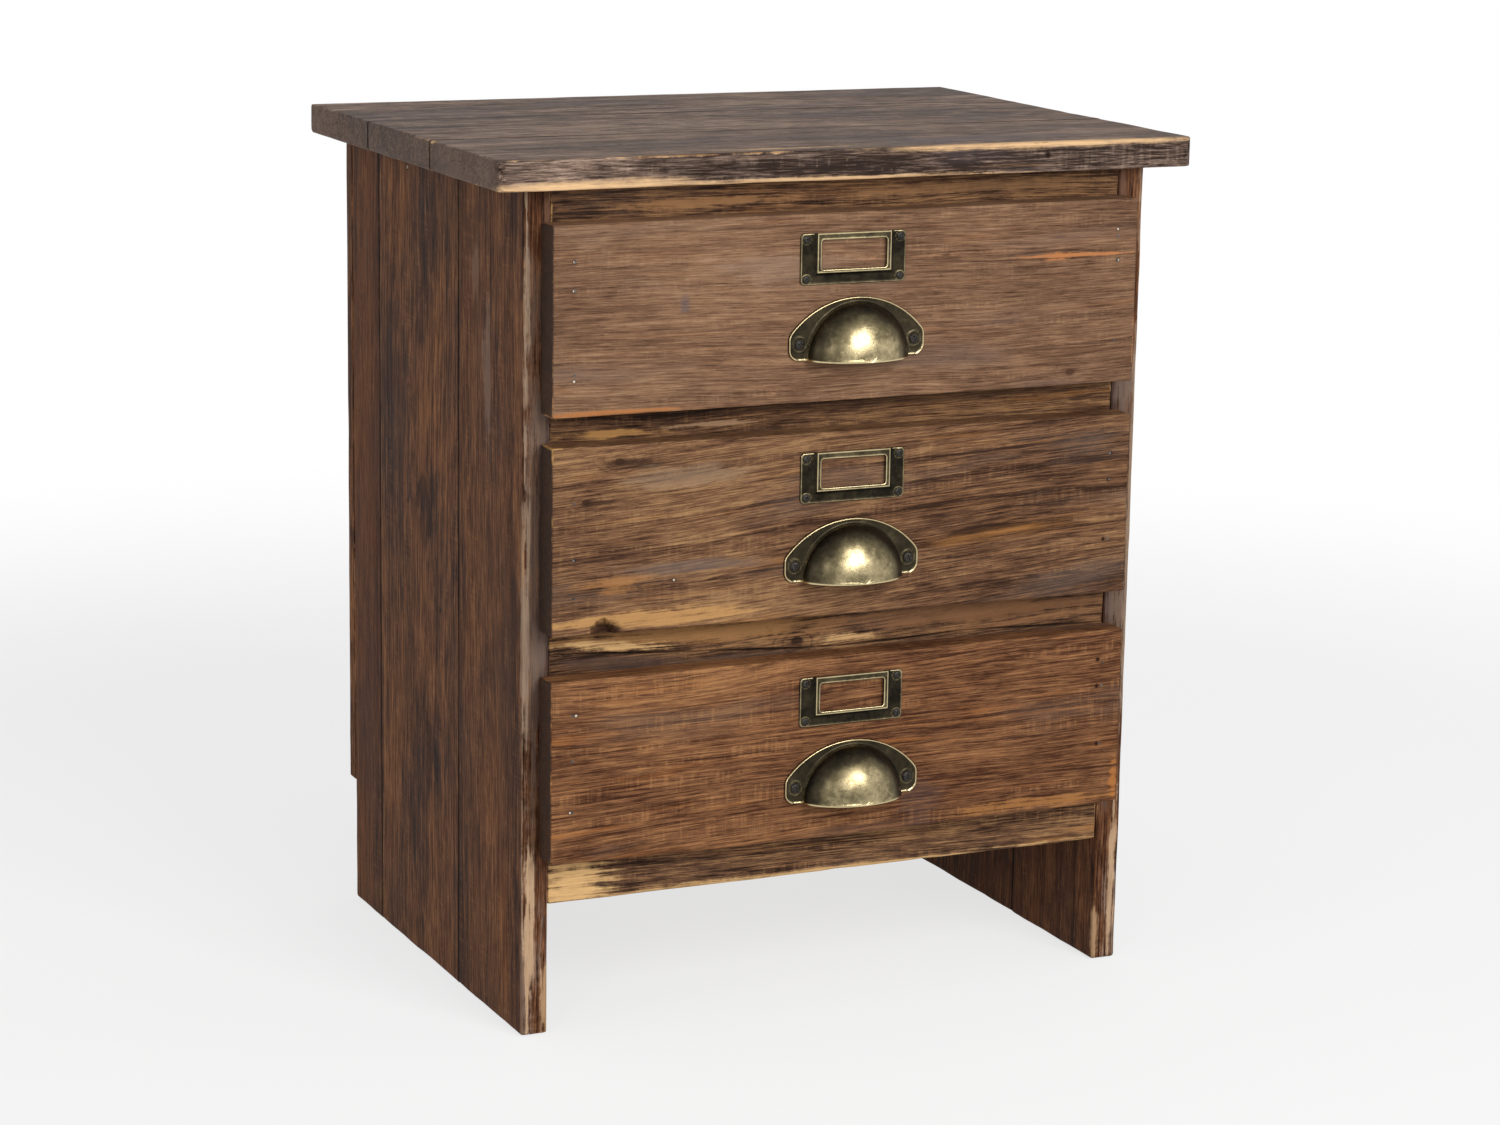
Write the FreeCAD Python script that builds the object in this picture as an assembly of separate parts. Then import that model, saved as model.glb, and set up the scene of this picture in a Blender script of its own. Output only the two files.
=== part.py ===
import FreeCAD, Part
import math
import os

# A rustic three-drawer nightstand of solid boards, in millimetres.
# +X is the right-hand side as seen from the front, -Y is the front, +Z is up.
# The origin is on the floor, under the middle of the whole piece.

# Case
case_width = 412.0
side_depth = 305.0
side_thick = 17.0
side_front_board = 108.0
side_middle_board = 144.0
back_thick = 12.0
back_middle_board = 142.0
toe_height = 81.0

# Top
top_thick = 18.5
top_side_overhang = 23.0
top_back_overhang = 2.0
top_front_set_back = 0.0
top_rear_board = 112.0
top_middle_board = 112.0
top_corner_round = 5.0

# Rails across the front
rail_thick = 17.0
rail_set_back = 1.0
bottom_rail_height = 38.0
lower_rail_height = 36.0
upper_rail_height = 32.0
top_rail_height = 32.0
bottom_opening = 100.0
middle_opening = 101.0
top_opening = 94.0
crack_depth = 2.0
crack_width = 1.4
crack_drop = (19.0, 25.5, 30.5, 28.0, 30.8)

# Runners under the drawers and cleats under the top
runner_wide = 18.0
runner_high = 18.0
cleat_wide = 15.0
cleat_high = 15.0
strip_screw_from_end = 43.0

# Drawer boxes
front_thick = 18.5
front_gap = 0.5
front_left_inset = 10.5
front_right_inset = 14.0
box_side_play = 2.0
box_rest_play = 0.4
box_head_room = 5.6
box_rear_room = 21.5
wall_thick = 12.0
bottom_thick = 5.0
bottom_lift = 8.0
groove_depth = 5.0
groove_play = 0.2
panel_play = 0.5

# Cup pull, a crescent flange with a hooded half dome
pull_sheet = 1.2
pull_half_width = 45.0
pull_rise = 27.2
pull_drop = 9.8
pull_crown_radius = 57.0
pull_lobe_round = 8.0
pull_foot_round = 6.5
pull_hood_radius = 33.7
pull_reach = 22.0
pull_screw_spacing = 76.0
dome_bands = 4

# Label holder, a pressed frame open at the top for a card
holder_width = 69.5
holder_height = 31.0
holder_sheet = 1.0
holder_corner = 2.6
holder_top_gap = 11.8
frame_width = 49.0
frame_height = 23.8
frame_raise = 1.6
frame_slope = 1.5
window_width = 43.3
window_height = 17.7
window_top_bar = 4.1
window_round = 1.6
card_slot_side = 1.4
card_slot_depth = 1.4
holder_screw_x = 62.0
holder_screw_z = 23.8

# Screws and nails. They are many and small, so round bars get a few flat sides.
bar_sides = 5
head_sides = 8
pull_screw_shank = 1.7
pull_screw_head = 3.1
pull_screw_crown = 1.7
pull_screw_length = 17.0
holder_screw_shank = 1.1
holder_screw_head = 2.3
holder_screw_crown = 1.2
holder_screw_length = 11.0
rail_screw_shank = 1.9
rail_screw_head = 3.6
rail_screw_crown = 2.0
rail_screw_bite = 12.0
nail_thick = 1.6
nail_length = 34.0
nail_from_end = 14.0
back_nail_rows = 4
back_nail_from_end = 26.0
fastener_play = 0.1

# A knot that has fallen out of the lower edge of the middle drawer's front
knot_from_left = 33.0
knot_radius = 7.0
knot_lift = 1.0
knot_depth = 6.0

# Edges
board_ease = 1.5
front_ease = 1.2

# Slack for sorting edges by where they are
hair = 0.01

# Places worked out from the sizes above
half_case = case_width / 2
inner_half = half_case - side_thick
front_reach = front_gap + front_thick + pull_reach
back_reach = side_depth + back_thick + top_back_overhang
case_front = (front_reach - back_reach) / 2
case_back = case_front + side_depth
front_back_face = case_front - front_gap
front_face = front_back_face - front_thick
top_front_edge = front_face + top_front_set_back
top_back_edge = case_back + back_thick + top_back_overhang
rail_front = case_front + rail_set_back
rail_back = rail_front + rail_thick
bottom_rail_top = toe_height + bottom_rail_height
lower_rail_bottom = bottom_rail_top + bottom_opening
lower_rail_top = lower_rail_bottom + lower_rail_height
upper_rail_bottom = lower_rail_top + middle_opening
upper_rail_top = upper_rail_bottom + upper_rail_height
top_rail_bottom = upper_rail_top + top_opening
side_height = top_rail_bottom + top_rail_height
front_left = -half_case + front_left_inset
front_right = half_case - front_right_inset
box_half = inner_half - box_side_play
box_inner_half = box_half - wall_thick
box_back = case_back - box_rear_room

# Each drawer: its opening, how far its sawn front laps over the rails at the
# left and right end, the belly of its lower edge, where its hardware sits, and
# its brads at each end, the upper ones below the box's top edge and the lowest
# one above its bottom edge.
drawers = [
    {
        "name": "top_drawer",
        "opening": (upper_rail_top, top_rail_bottom),
        "lap_below": (6.8, 6.0),
        "lap_above": (12.1, 14.0),
        "belly": 0.0,
        "holder_x": -3.4,
        "pull_x": 0.0,
        "pull_below_top": 78.0,
        "upper_brads": ((3.5, 20.5), (3.5, 18.0)),
        "lowest_brad": (18.0, 20.0),
    },
    {
        "name": "middle_drawer",
        "opening": (lower_rail_top, upper_rail_bottom),
        "lap_below": (4.4, 6.8),
        "lap_above": (8.1, 5.4),
        "belly": 0.0,
        "holder_x": -0.8,
        "pull_x": -0.4,
        "pull_below_top": 80.7,
        "upper_brads": ((20.0, 54.0), (13.0, 29.5)),
        "lowest_brad": (18.0, 27.5),
    },
    {
        "name": "bottom_drawer",
        "opening": (bottom_rail_top, lower_rail_bottom),
        "lap_below": (7.4, 7.5),
        "lap_above": (4.6, 5.1),
        "belly": 1.8,
        "holder_x": 1.5,
        "pull_x": 2.8,
        "pull_below_top": 80.5,
        "upper_brads": ((11.0, 39.0), (10.0, 25.0)),
        "lowest_brad": (23.5, 31.0),
    },
]

parts = {}


def point(x, y, z):
    return FreeCAD.Vector(x, y, z)


def edges_along(solid, axis):
    chosen = []
    for edge in solid.Edges:
        if not isinstance(edge.Curve, Part.Line):
            continue
        run = edge.Vertexes[-1].Point.sub(edge.Vertexes[0].Point)
        if run.normalize().cross(axis).Length < hair:
            chosen.append(edge)
    return chosen


# A block with square arrises between two corners.
def plain_board(low, high):
    size = high.sub(low)
    return Part.makeBox(size.x, size.y, size.z, low)


# A sawn board between two corners, its arrises eased along the grain
# and at its ends.
def board(low, high, ease):
    blank = plain_board(low, high)
    return blank.makeChamfer(ease, blank.Edges)


def rod(start, direction, radius, length):
    return Part.makeCylinder(radius, length, start, direction)


def set_along(shape, start, direction):
    shape.Placement = FreeCAD.Placement(start, FreeCAD.Rotation(point(0, 0, 1), direction))
    return shape


def ring(radius, height, sides):
    turn = 2 * math.pi / sides
    return [
        point(radius * math.cos(step * turn), radius * math.sin(step * turn), height)
        for step in range(sides)
    ]


def flat_face(corners):
    return Part.Face(Part.makePolygon(corners + corners[:1]))


# A plain bar for a screw's shank or for the hole that it sits in.
def bar(start, direction, radius, length):
    stem = flat_face(ring(radius, 0, bar_sides)).extrude(point(0, 0, length))
    return set_along(stem, start, direction)


# A screw with a crowned head that narrows upward. The head's flat seat is at
# the start point and the shank runs along the direction.
def crowned_screw(seat, direction, shank, head, crown, length):
    rim = ring(head, 0, head_sides)
    top = ring(head / 2, -crown, head_sides)
    sides = [
        flat_face([rim[step - 1], rim[step], top[step], top[step - 1]])
        for step in range(head_sides)
    ]
    crowned = Part.Solid(Part.Shell(sides + [flat_face(rim), flat_face(top)]))
    stem = bar(point(0, 0, 0), to_top, shank, length)
    return set_along(crowned.fuse(stem), seat, direction)


# A square wire brad, driven flush with the wood at the start point, and its hole.
def brad(surface, direction, thick, length):
    half = thick / 2
    shank = Part.makeBox(thick, thick, length, point(-half, -half, 0))
    return set_along(shank, surface, direction)


def drill(solid, holes):
    return solid.cut(Part.makeCompound(holes)).removeSplitter()


to_back = point(0, 1, 0)
to_front = point(0, -1, 0)
to_left = point(-1, 0, 0)
to_right = point(1, 0, 0)
to_top = point(0, 0, 1)


# The top: three boards glued edge to edge, grain from left to right.
top_half = half_case + top_side_overhang
top_low = side_height
top_high = side_height + top_thick
rear_seam = top_back_edge - top_rear_board
front_seam = rear_seam - top_middle_board
top_strips = {
    "top_board_front": (top_front_edge, front_seam),
    "top_board_middle": (front_seam, rear_seam),
    "top_board_rear": (rear_seam, top_back_edge),
}
for name, (near, far) in top_strips.items():
    blank = plain_board(point(-top_half, near, top_low), point(top_half, far, top_high))
    if name == "top_board_front":
        corners = [
            edge for edge in edges_along(blank, to_top)
            if abs(edge.Vertexes[0].Y - near) < hair
        ]
        blank = blank.makeFillet(top_corner_round, corners)
    parts[name] = blank.makeChamfer(board_ease, [
        edge for edge in blank.Edges
        if abs(edge.Vertexes[0].Z - edge.Vertexes[-1].Z) < hair
    ])


# The two sides: three upright boards each, which run down to the floor.
side_seams = [
    case_front,
    case_front + side_front_board,
    case_front + side_front_board + side_middle_board,
    case_back,
]
strip_names = ("front", "middle", "rear")
for side, outer in (("left", -half_case), ("right", inner_half)):
    for strip, near, far in zip(strip_names, side_seams, side_seams[1:]):
        parts[side + "_side_board_" + strip] = board(
            point(outer, near, 0),
            point(outer + side_thick, far, side_height),
            board_ease,
        )


# The back: three upright boards nailed over the rear edges of the sides.
back_seams = [
    -half_case,
    -back_middle_board / 2,
    back_middle_board / 2,
    half_case,
]
for strip, near, far in zip(("left", "middle", "right"), back_seams, back_seams[1:]):
    parts["back_board_" + strip] = board(
        point(near, case_back, toe_height),
        point(far, case_back + back_thick, side_height),
        board_ease,
    )


# The rails between the sides, set just behind their front edges.
rails = {
    "bottom_rail": (toe_height, bottom_rail_top),
    "lower_rail": (lower_rail_bottom, lower_rail_top),
    "upper_rail": (upper_rail_bottom, upper_rail_top),
    "top_rail": (top_rail_bottom, side_height),
}
for name, (low, high) in rails.items():
    parts[name] = board(
        point(-inner_half, rail_front, low),
        point(inner_half, rail_back, high),
        board_ease,
    )


# The crack that wanders along the lower rail's face, a narrow open split.
def rail_crack():
    steps = len(crack_drop) - 1
    run = 2 * inner_half / steps
    path = [
        point(-inner_half + index * run, rail_front, lower_rail_top - drop)
        for index, drop in enumerate(crack_drop)
    ]
    rise = point(0, 0, crack_width / 2)
    upper = [spot.add(rise) for spot in path]
    lower = [spot.sub(rise) for spot in reversed(path)]
    outline = Part.makePolygon(upper + lower + upper[:1])
    return Part.Face(outline).extrude(point(0, crack_depth, 0))


parts["lower_rail"] = parts["lower_rail"].cut(rail_crack())


# Runners that the drawers slide on, screwed to the inside of the sides, and
# cleats that hold the top down. Their screws share one node each.
def side_strip(side, wide, low, high):
    near = -inner_half if side == "left" else inner_half - wide
    return plain_board(point(near, rail_back, low), point(near + wide, case_back, high))


def strip_screws(side, wide, height):
    seat_x = -inner_half + wide if side == "left" else inner_half - wide
    direction = to_left if side == "left" else to_right
    ends = (rail_back + strip_screw_from_end, case_back - strip_screw_from_end)
    return [(point(seat_x, end, height), direction) for end in ends]


def drive(seats, depth, names):
    holes = [
        bar(seat, direction, rail_screw_shank + fastener_play, depth + fastener_play)
        for seat, direction in seats
    ]
    for name in names:
        parts[name] = drill(parts[name], holes)
    return [
        crowned_screw(
            seat, direction, rail_screw_shank, rail_screw_head, rail_screw_crown, depth
        )
        for seat, direction in seats
    ]


runner_tops = {
    "upper": upper_rail_top,
    "middle": lower_rail_top,
    "lower": bottom_rail_top,
}
runner_screws = []
cleat_screws = []
for side in ("left", "right"):
    boards = [side + "_side_board_" + strip for strip in strip_names]
    for level, height in runner_tops.items():
        name = level + "_runner_" + side
        parts[name] = side_strip(side, runner_wide, height - runner_high, height)
        seats = strip_screws(side, runner_wide, height - runner_high / 2)
        runner_screws += drive(seats, runner_wide + rail_screw_bite, [name] + boards)
    name = "top_cleat_" + side
    parts[name] = side_strip(side, cleat_wide, side_height - cleat_high, side_height)
    seats = strip_screws(side, cleat_wide, side_height - cleat_high / 2)
    cleat_screws += drive(seats, cleat_wide + rail_screw_bite, [name] + boards)
parts["runner_screws"] = Part.makeCompound(runner_screws)
parts["cleat_screws"] = Part.makeCompound(cleat_screws)


# Nails through the back boards into the rear edges of the sides.
back_nail_places = []
nail_row_gap = (side_height - toe_height - 2 * back_nail_from_end) / (back_nail_rows - 1)
for row in range(back_nail_rows):
    height = toe_height + back_nail_from_end + row * nail_row_gap
    for middle in (-half_case + side_thick / 2, half_case - side_thick / 2):
        back_nail_places.append(point(middle, case_back + back_thick, height))
back_holes = [
    brad(place, to_front, nail_thick + 2 * fastener_play, nail_length + fastener_play)
    for place in back_nail_places
]
for name in ("back_board_left", "back_board_right", "left_side_board_rear",
             "right_side_board_rear"):
    parts[name] = drill(parts[name], back_holes)
parts["back_nails"] = Part.makeCompound(
    [brad(place, to_front, nail_thick, nail_length) for place in back_nail_places]
)


# A drawer front sawn by hand: its ends differ a little in height, and its
# lower edge may belly down in the middle.
def drawer_front(drawer):
    low, high = drawer["opening"]
    bottom_left = point(front_left, front_back_face, low - drawer["lap_below"][0])
    bottom_right = point(front_right, front_back_face, low - drawer["lap_below"][1])
    top_right = point(front_right, front_back_face, high + drawer["lap_above"][1])
    top_left = point(front_left, front_back_face, high + drawer["lap_above"][0])
    if drawer["belly"] > 0:
        middle = bottom_left.add(bottom_right).multiply(0.5)
        middle = middle.sub(point(0, 0, drawer["belly"]))
        lower_edge = Part.Arc(bottom_left, middle, bottom_right).toShape()
    else:
        lower_edge = Part.makeLine(bottom_left, bottom_right)
    outline = Part.Wire([
        lower_edge,
        Part.makeLine(bottom_right, top_right),
        Part.makeLine(top_right, top_left),
        Part.makeLine(top_left, bottom_left),
    ])
    blank = Part.Face(outline).extrude(point(0, -front_thick, 0))
    return blank.makeChamfer(front_ease, blank.Edges)


def front_top_middle(drawer):
    return drawer["opening"][1] + sum(drawer["lap_above"]) / 2


# The hooded pull: a crescent plate, and a half dome pressed out of it that is
# open below for the fingers. The dome's side profile starts straight out of the
# plate, touches a quarter ellipse along a few bands, and ends in a flat nose.
def hood(radius, reach, middle):
    half_swing = math.pi / 4 / dome_bands
    profile = [middle, middle.add(point(radius, 0, 0))]
    for band in range(dome_bands):
        angle = (2 * band + 1) * half_swing
        out = radius * math.cos(angle) / math.cos(half_swing)
        forward = reach * math.sin(angle) / math.cos(half_swing)
        profile.append(middle.add(point(out, -forward, 0)))
    profile.append(middle.add(point(0, -reach, 0)))
    outline = Part.makePolygon(profile + profile[:1])
    return Part.Face(outline).revolve(middle, to_front, 180)


def flange(middle):
    crown_middle = middle.add(point(0, 0, pull_rise - pull_crown_radius))
    disc = rod(crown_middle, to_front, pull_crown_radius, pull_sheet)
    slab = Part.makeBox(
        2 * pull_half_width, pull_sheet, pull_rise + pull_drop,
        middle.add(point(-pull_half_width, -pull_sheet, -pull_drop)),
    )
    blank = disc.common(slab)
    uprights = edges_along(blank, to_back)
    feet = [edge for edge in uprights if edge.Vertexes[0].Z < middle.z - pull_drop / 2]
    blank = blank.makeFillet(pull_foot_round, feet)
    lobes = [
        edge for edge in edges_along(blank, to_back)
        if edge.Vertexes[0].Z > middle.z
        and abs(abs(edge.Vertexes[0].X - middle.x) - pull_half_width) < hair
    ]
    return blank.makeFillet(pull_lobe_round, lobes)


def cup_pull(middle):
    hood_middle = middle.sub(point(0, 0, pull_drop))
    outer = hood(pull_hood_radius, pull_reach, hood_middle)
    inner = hood(pull_hood_radius - pull_sheet, pull_reach - pull_sheet, hood_middle)
    holes = [
        bar(middle.add(point(side * pull_screw_spacing / 2, 0, 0)), to_front,
            pull_screw_shank + fastener_play, pull_sheet)
        for side in (-1, 1)
    ]
    return flange(middle).fuse(outer).cut(Part.makeCompound([inner] + holes)).removeSplitter()


def rectangle(middle, y, half_width, low, high):
    corners = [
        point(middle.x - half_width, y, low),
        point(middle.x + half_width, y, low),
        point(middle.x + half_width, y, high),
        point(middle.x - half_width, y, high),
    ]
    return Part.makePolygon(corners + corners[:1])


# The label holder: a thin plate, a pressed frame with sloping sides, the slot
# behind the frame where a card slips in from above, and the window.
def label_holder(middle):
    low = middle.z - holder_height / 2
    high = middle.z + holder_height / 2
    plate = Part.makeBox(
        holder_width, holder_sheet, holder_height,
        point(middle.x - holder_width / 2, middle.y - holder_sheet, low),
    )
    plate = plate.makeChamfer(holder_corner, edges_along(plate, to_back))
    base_y = middle.y - holder_sheet
    pressed = Part.makeLoft([
        rectangle(middle, base_y, frame_width / 2 + frame_slope,
                  high - frame_height - frame_slope, high),
        rectangle(middle, base_y - frame_raise, frame_width / 2,
                  high - frame_height, high),
    ], True, True)
    window_high = high - window_top_bar
    window_low = window_high - window_height
    whole_depth = holder_sheet + frame_raise
    window = Part.makeBox(
        window_width, whole_depth, window_height,
        point(middle.x - window_width / 2, middle.y - whole_depth, window_low),
    )
    window = window.makeFillet(window_round, edges_along(window, to_back))
    slot = Part.makeBox(
        window_width + 2 * card_slot_side, card_slot_depth, high - window_low + card_slot_side,
        point(middle.x - window_width / 2 - card_slot_side, middle.y - card_slot_depth,
              window_low - card_slot_side),
    )
    holes = [
        bar(spot, to_front, holder_screw_shank + fastener_play, holder_sheet)
        for spot in holder_screw_spots(middle)
    ]
    solid = plate.fuse(pressed).cut(window).cut(slot)
    return solid.cut(Part.makeCompound(holes)).removeSplitter()


def holder_screw_spots(middle):
    return [
        middle.add(point(across * holder_screw_x / 2, 0, up * holder_screw_z / 2))
        for across in (-1, 1) for up in (-1, 1)
    ]


# One drawer: a box of four walls and a bottom let into grooves, behind an
# overlaid front that carries the label holder and the cup pull.
for drawer in drawers:
    name = drawer["name"]
    low = drawer["opening"][0] + box_rest_play
    high = drawer["opening"][1] - box_head_room
    groove_low = low + bottom_lift
    groove_high = groove_low + bottom_thick + groove_play
    front = drawer_front(drawer)
    left = plain_board(
        point(-box_half, front_back_face, low),
        point(-box_inner_half, box_back, high),
    )
    right = plain_board(
        point(box_inner_half, front_back_face, low),
        point(box_half, box_back, high),
    )
    groove = plain_board(
        point(-box_inner_half - groove_depth, front_back_face - groove_depth, groove_low),
        point(box_inner_half + groove_depth, box_back, groove_high),
    )
    back = plain_board(
        point(-box_inner_half, box_back - wall_thick, groove_high),
        point(box_inner_half, box_back, high),
    )
    panel_half = box_inner_half + groove_depth - panel_play
    bottom_front = front_back_face - groove_depth + panel_play
    bottom = plain_board(
        point(-panel_half, bottom_front, groove_low),
        point(panel_half, box_back, groove_low + bottom_thick),
    )

    nails = []
    nail_holes = []
    ends = (front_left + nail_from_end, front_right - nail_from_end)
    for end, drops, lift in zip(ends, drawer["upper_brads"], drawer["lowest_brad"]):
        for height in (high - drops[0], high - drops[1], low + lift):
            spot = point(end, front_face, height)
            nails.append(brad(spot, to_back, nail_thick, nail_length))
            nail_holes.append(
                brad(spot, to_back, nail_thick + 2 * fastener_play, nail_length + fastener_play)
            )

    top_middle = front_top_middle(drawer)
    holder_middle = point(
        drawer["holder_x"], front_face, top_middle - holder_top_gap - holder_height / 2
    )
    pull_middle = point(drawer["pull_x"], front_face, top_middle - drawer["pull_below_top"])
    holder_spots = holder_screw_spots(holder_middle)
    pull_spots = [
        pull_middle.add(point(across * pull_screw_spacing / 2, 0, 0)) for across in (-1, 1)
    ]
    holder_bite = holder_screw_length - holder_sheet
    pull_bite = pull_screw_length - pull_sheet
    screw_holes = [
        bar(spot, to_back, holder_screw_shank + fastener_play, holder_bite + fastener_play)
        for spot in holder_spots
    ]
    screw_holes += [
        bar(spot, to_back, pull_screw_shank + fastener_play, pull_bite + fastener_play)
        for spot in pull_spots
    ]

    parts[name + "_front"] = drill(front.cut(groove), nail_holes + screw_holes)
    if name == "middle_drawer":
        knot = point(
            front_left + knot_from_left, front_face,
            drawer["opening"][0] - drawer["lap_below"][0] + knot_lift,
        )
        hollow = rod(knot, to_back, knot_radius, knot_depth)
        parts[name + "_front"] = parts[name + "_front"].cut(hollow)
    parts[name + "_left_side"] = drill(left.cut(groove), nail_holes)
    parts[name + "_right_side"] = drill(right.cut(groove), nail_holes)
    parts[name + "_back"] = back
    parts[name + "_bottom"] = bottom
    parts[name + "_nails"] = Part.makeCompound(nails)
    parts[name + "_label_holder"] = label_holder(holder_middle)
    parts[name + "_cup_pull"] = cup_pull(pull_middle)
    parts[name + "_label_screws"] = Part.makeCompound([
        crowned_screw(
            spot.sub(point(0, holder_sheet, 0)), to_back, holder_screw_shank,
            holder_screw_head, holder_screw_crown, holder_screw_length,
        )
        for spot in holder_spots
    ])
    parts[name + "_pull_screws"] = Part.makeCompound([
        crowned_screw(
            spot.sub(point(0, pull_sheet, 0)), to_back, pull_screw_shank,
            pull_screw_head, pull_screw_crown, pull_screw_length,
        )
        for spot in pull_spots
    ])


os.makedirs("parts", exist_ok=True)
for name, shape in parts.items():
    shape.exportStep("parts/" + name + ".step")
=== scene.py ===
import bpy
import math
from mathutils import Matrix, Vector, noise


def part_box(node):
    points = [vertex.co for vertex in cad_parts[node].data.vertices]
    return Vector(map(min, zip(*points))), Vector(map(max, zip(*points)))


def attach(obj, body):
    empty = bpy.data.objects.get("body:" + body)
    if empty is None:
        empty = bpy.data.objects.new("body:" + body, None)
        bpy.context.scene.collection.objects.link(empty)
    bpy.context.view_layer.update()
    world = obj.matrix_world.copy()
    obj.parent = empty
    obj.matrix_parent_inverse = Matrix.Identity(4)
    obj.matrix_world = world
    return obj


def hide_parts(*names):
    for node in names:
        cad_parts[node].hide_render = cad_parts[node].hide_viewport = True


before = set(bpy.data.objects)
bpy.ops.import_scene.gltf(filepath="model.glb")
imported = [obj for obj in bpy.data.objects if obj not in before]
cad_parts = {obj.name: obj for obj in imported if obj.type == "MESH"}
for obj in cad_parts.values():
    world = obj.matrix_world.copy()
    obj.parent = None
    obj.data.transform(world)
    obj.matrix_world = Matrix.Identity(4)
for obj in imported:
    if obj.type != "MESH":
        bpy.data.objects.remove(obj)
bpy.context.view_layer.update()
print("frame loaded")


# Shader maths written as plain expressions on node sockets.
class Value:
    def __init__(self, tree, socket):
        self.tree = tree
        self.socket = socket

    def math(self, operation, *others):
        made = self.tree.node("ShaderNodeMath", {"operation": operation}, [self, *others])
        return made.out(0)

    def __add__(self, other):
        return self.math("ADD", other)

    def __radd__(self, other):
        return self.math("ADD", other)

    def __sub__(self, other):
        return self.math("SUBTRACT", other)

    def __rsub__(self, other):
        return self.tree.node("ShaderNodeMath", {"operation": "SUBTRACT"}, [other, self]).out(0)

    def __mul__(self, other):
        return self.math("MULTIPLY", other)

    def __rmul__(self, other):
        return self.math("MULTIPLY", other)

    def __abs__(self):
        return self.math("ABSOLUTE")

    def atLeast(self, other):
        return self.math("MAXIMUM", other)

    def atMost(self, other):
        return self.math("MINIMUM", other)

    def power(self, other):
        return self.math("POWER", other)

    # 0 below low, 1 above high, smooth between; low may be the larger of the two
    def rise(self, low, high):
        made = self.tree.node("ShaderNodeMapRange", {"interpolation_type": "SMOOTHSTEP"},
                              {"Value": self, "From Min": low, "From Max": high})
        return made.out(0)


class NodeMade:
    def __init__(self, tree, node):
        self.tree = tree
        self.node = node

    def out(self, name):
        return Value(self.tree, self.node.outputs[name])


# The nodes of one material, or of the world.
class Shade:
    def __init__(self, owner, endKind="ShaderNodeOutputMaterial"):
        owner.use_nodes = True
        self.owner = owner
        self.nodes = owner.node_tree.nodes
        self.links = owner.node_tree.links
        self.nodes.clear()
        self.end = self.node(endKind)

    # Any node: its type, its settings, then values or links for its sockets.
    def node(self, kind, settings=None, inputs=None):
        node = self.nodes.new(kind)
        for name, value in (settings or {}).items():
            if name == "stops":
                self.setStops(node.color_ramp, value)
            else:
                setattr(node, name, value)
        entries = inputs.items() if isinstance(inputs, dict) else enumerate(inputs or [])
        for key, value in entries:
            socket = node.inputs[key]
            if isinstance(value, Value):
                self.links.new(value.socket, socket)
            elif isinstance(value, tuple) and socket.type == "RGBA":
                socket.default_value = (*value, 1)
            else:
                socket.default_value = value
        return NodeMade(self, node)

    def setStops(self, ramp, stops):
        while len(ramp.elements) < len(stops):
            ramp.elements.new(0.5)
        for element, (place, colour) in zip(ramp.elements, stops):
            element.position = place
            element.color = (*colour, 1)

    def place(self):
        return self.node("ShaderNodeTexCoord").out("Object")

    def split(self, vector):
        made = self.node("ShaderNodeSeparateXYZ", {}, [vector])
        return made.out(0), made.out(1), made.out(2)

    def join(self, x, y, z):
        return self.node("ShaderNodeCombineXYZ", {}, [x, y, z]).out(0)

    def noise(self, vector, scale, detail=4, rough=0.55):
        made = self.node("ShaderNodeTexNoise", {}, {
            "Vector": vector, "Scale": scale, "Detail": detail, "Roughness": rough})
        return made.out("Fac")

    # noise on three axes that are each stretched by their own scale
    def speckle(self, axes, scales, shift, detail, rough):
        x, y, z = (axis * scale for axis, scale in zip(axes, scales))
        return self.noise(self.join(x, y, z + shift), 1, detail, rough)

    # sockets 0, 6 and 7 of a Mix node are its factor and its two colours
    def mix(self, share, first, second):
        return self.node("ShaderNodeMix", {"data_type": "RGBA"}, {0: share, 6: first, 7: second}).out(2)

    def ramp(self, level, stops):
        return self.node("ShaderNodeValToRGB", {"stops": stops}, [level]).out(0)

    def bump(self, height, strength, distance):
        inputs = {"Height": height, "Strength": strength, "Distance": distance}
        return self.node("ShaderNodeBump", {}, inputs).out(0)

    # 1 for what the camera sees, in a mirror or through glass too
    def seen(self):
        rays = self.node("ShaderNodeLightPath")
        straight = rays.out("Is Camera Ray").atLeast(rays.out("Is Glossy Ray"))
        return straight.atLeast(rays.out("Is Transmission Ray"))

    def close(self, shader):
        self.links.new(shader.socket, self.end.node.inputs[0])
        return self.owner

    def finish(self, colour, rough, normal, **more):
        inputs = {"Base Color": colour, "Roughness": rough, "Normal": normal, **more}
        return self.close(self.node("ShaderNodeBsdfPrincipled", {}, inputs).out(0))


# A colour as it looks on screen, 0 to 255, turned into light levels.
def tone(red, green, blue):
    return tuple(((level / 255 + 0.055) / 1.055) ** 2.4 for level in (red, green, blue))


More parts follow.
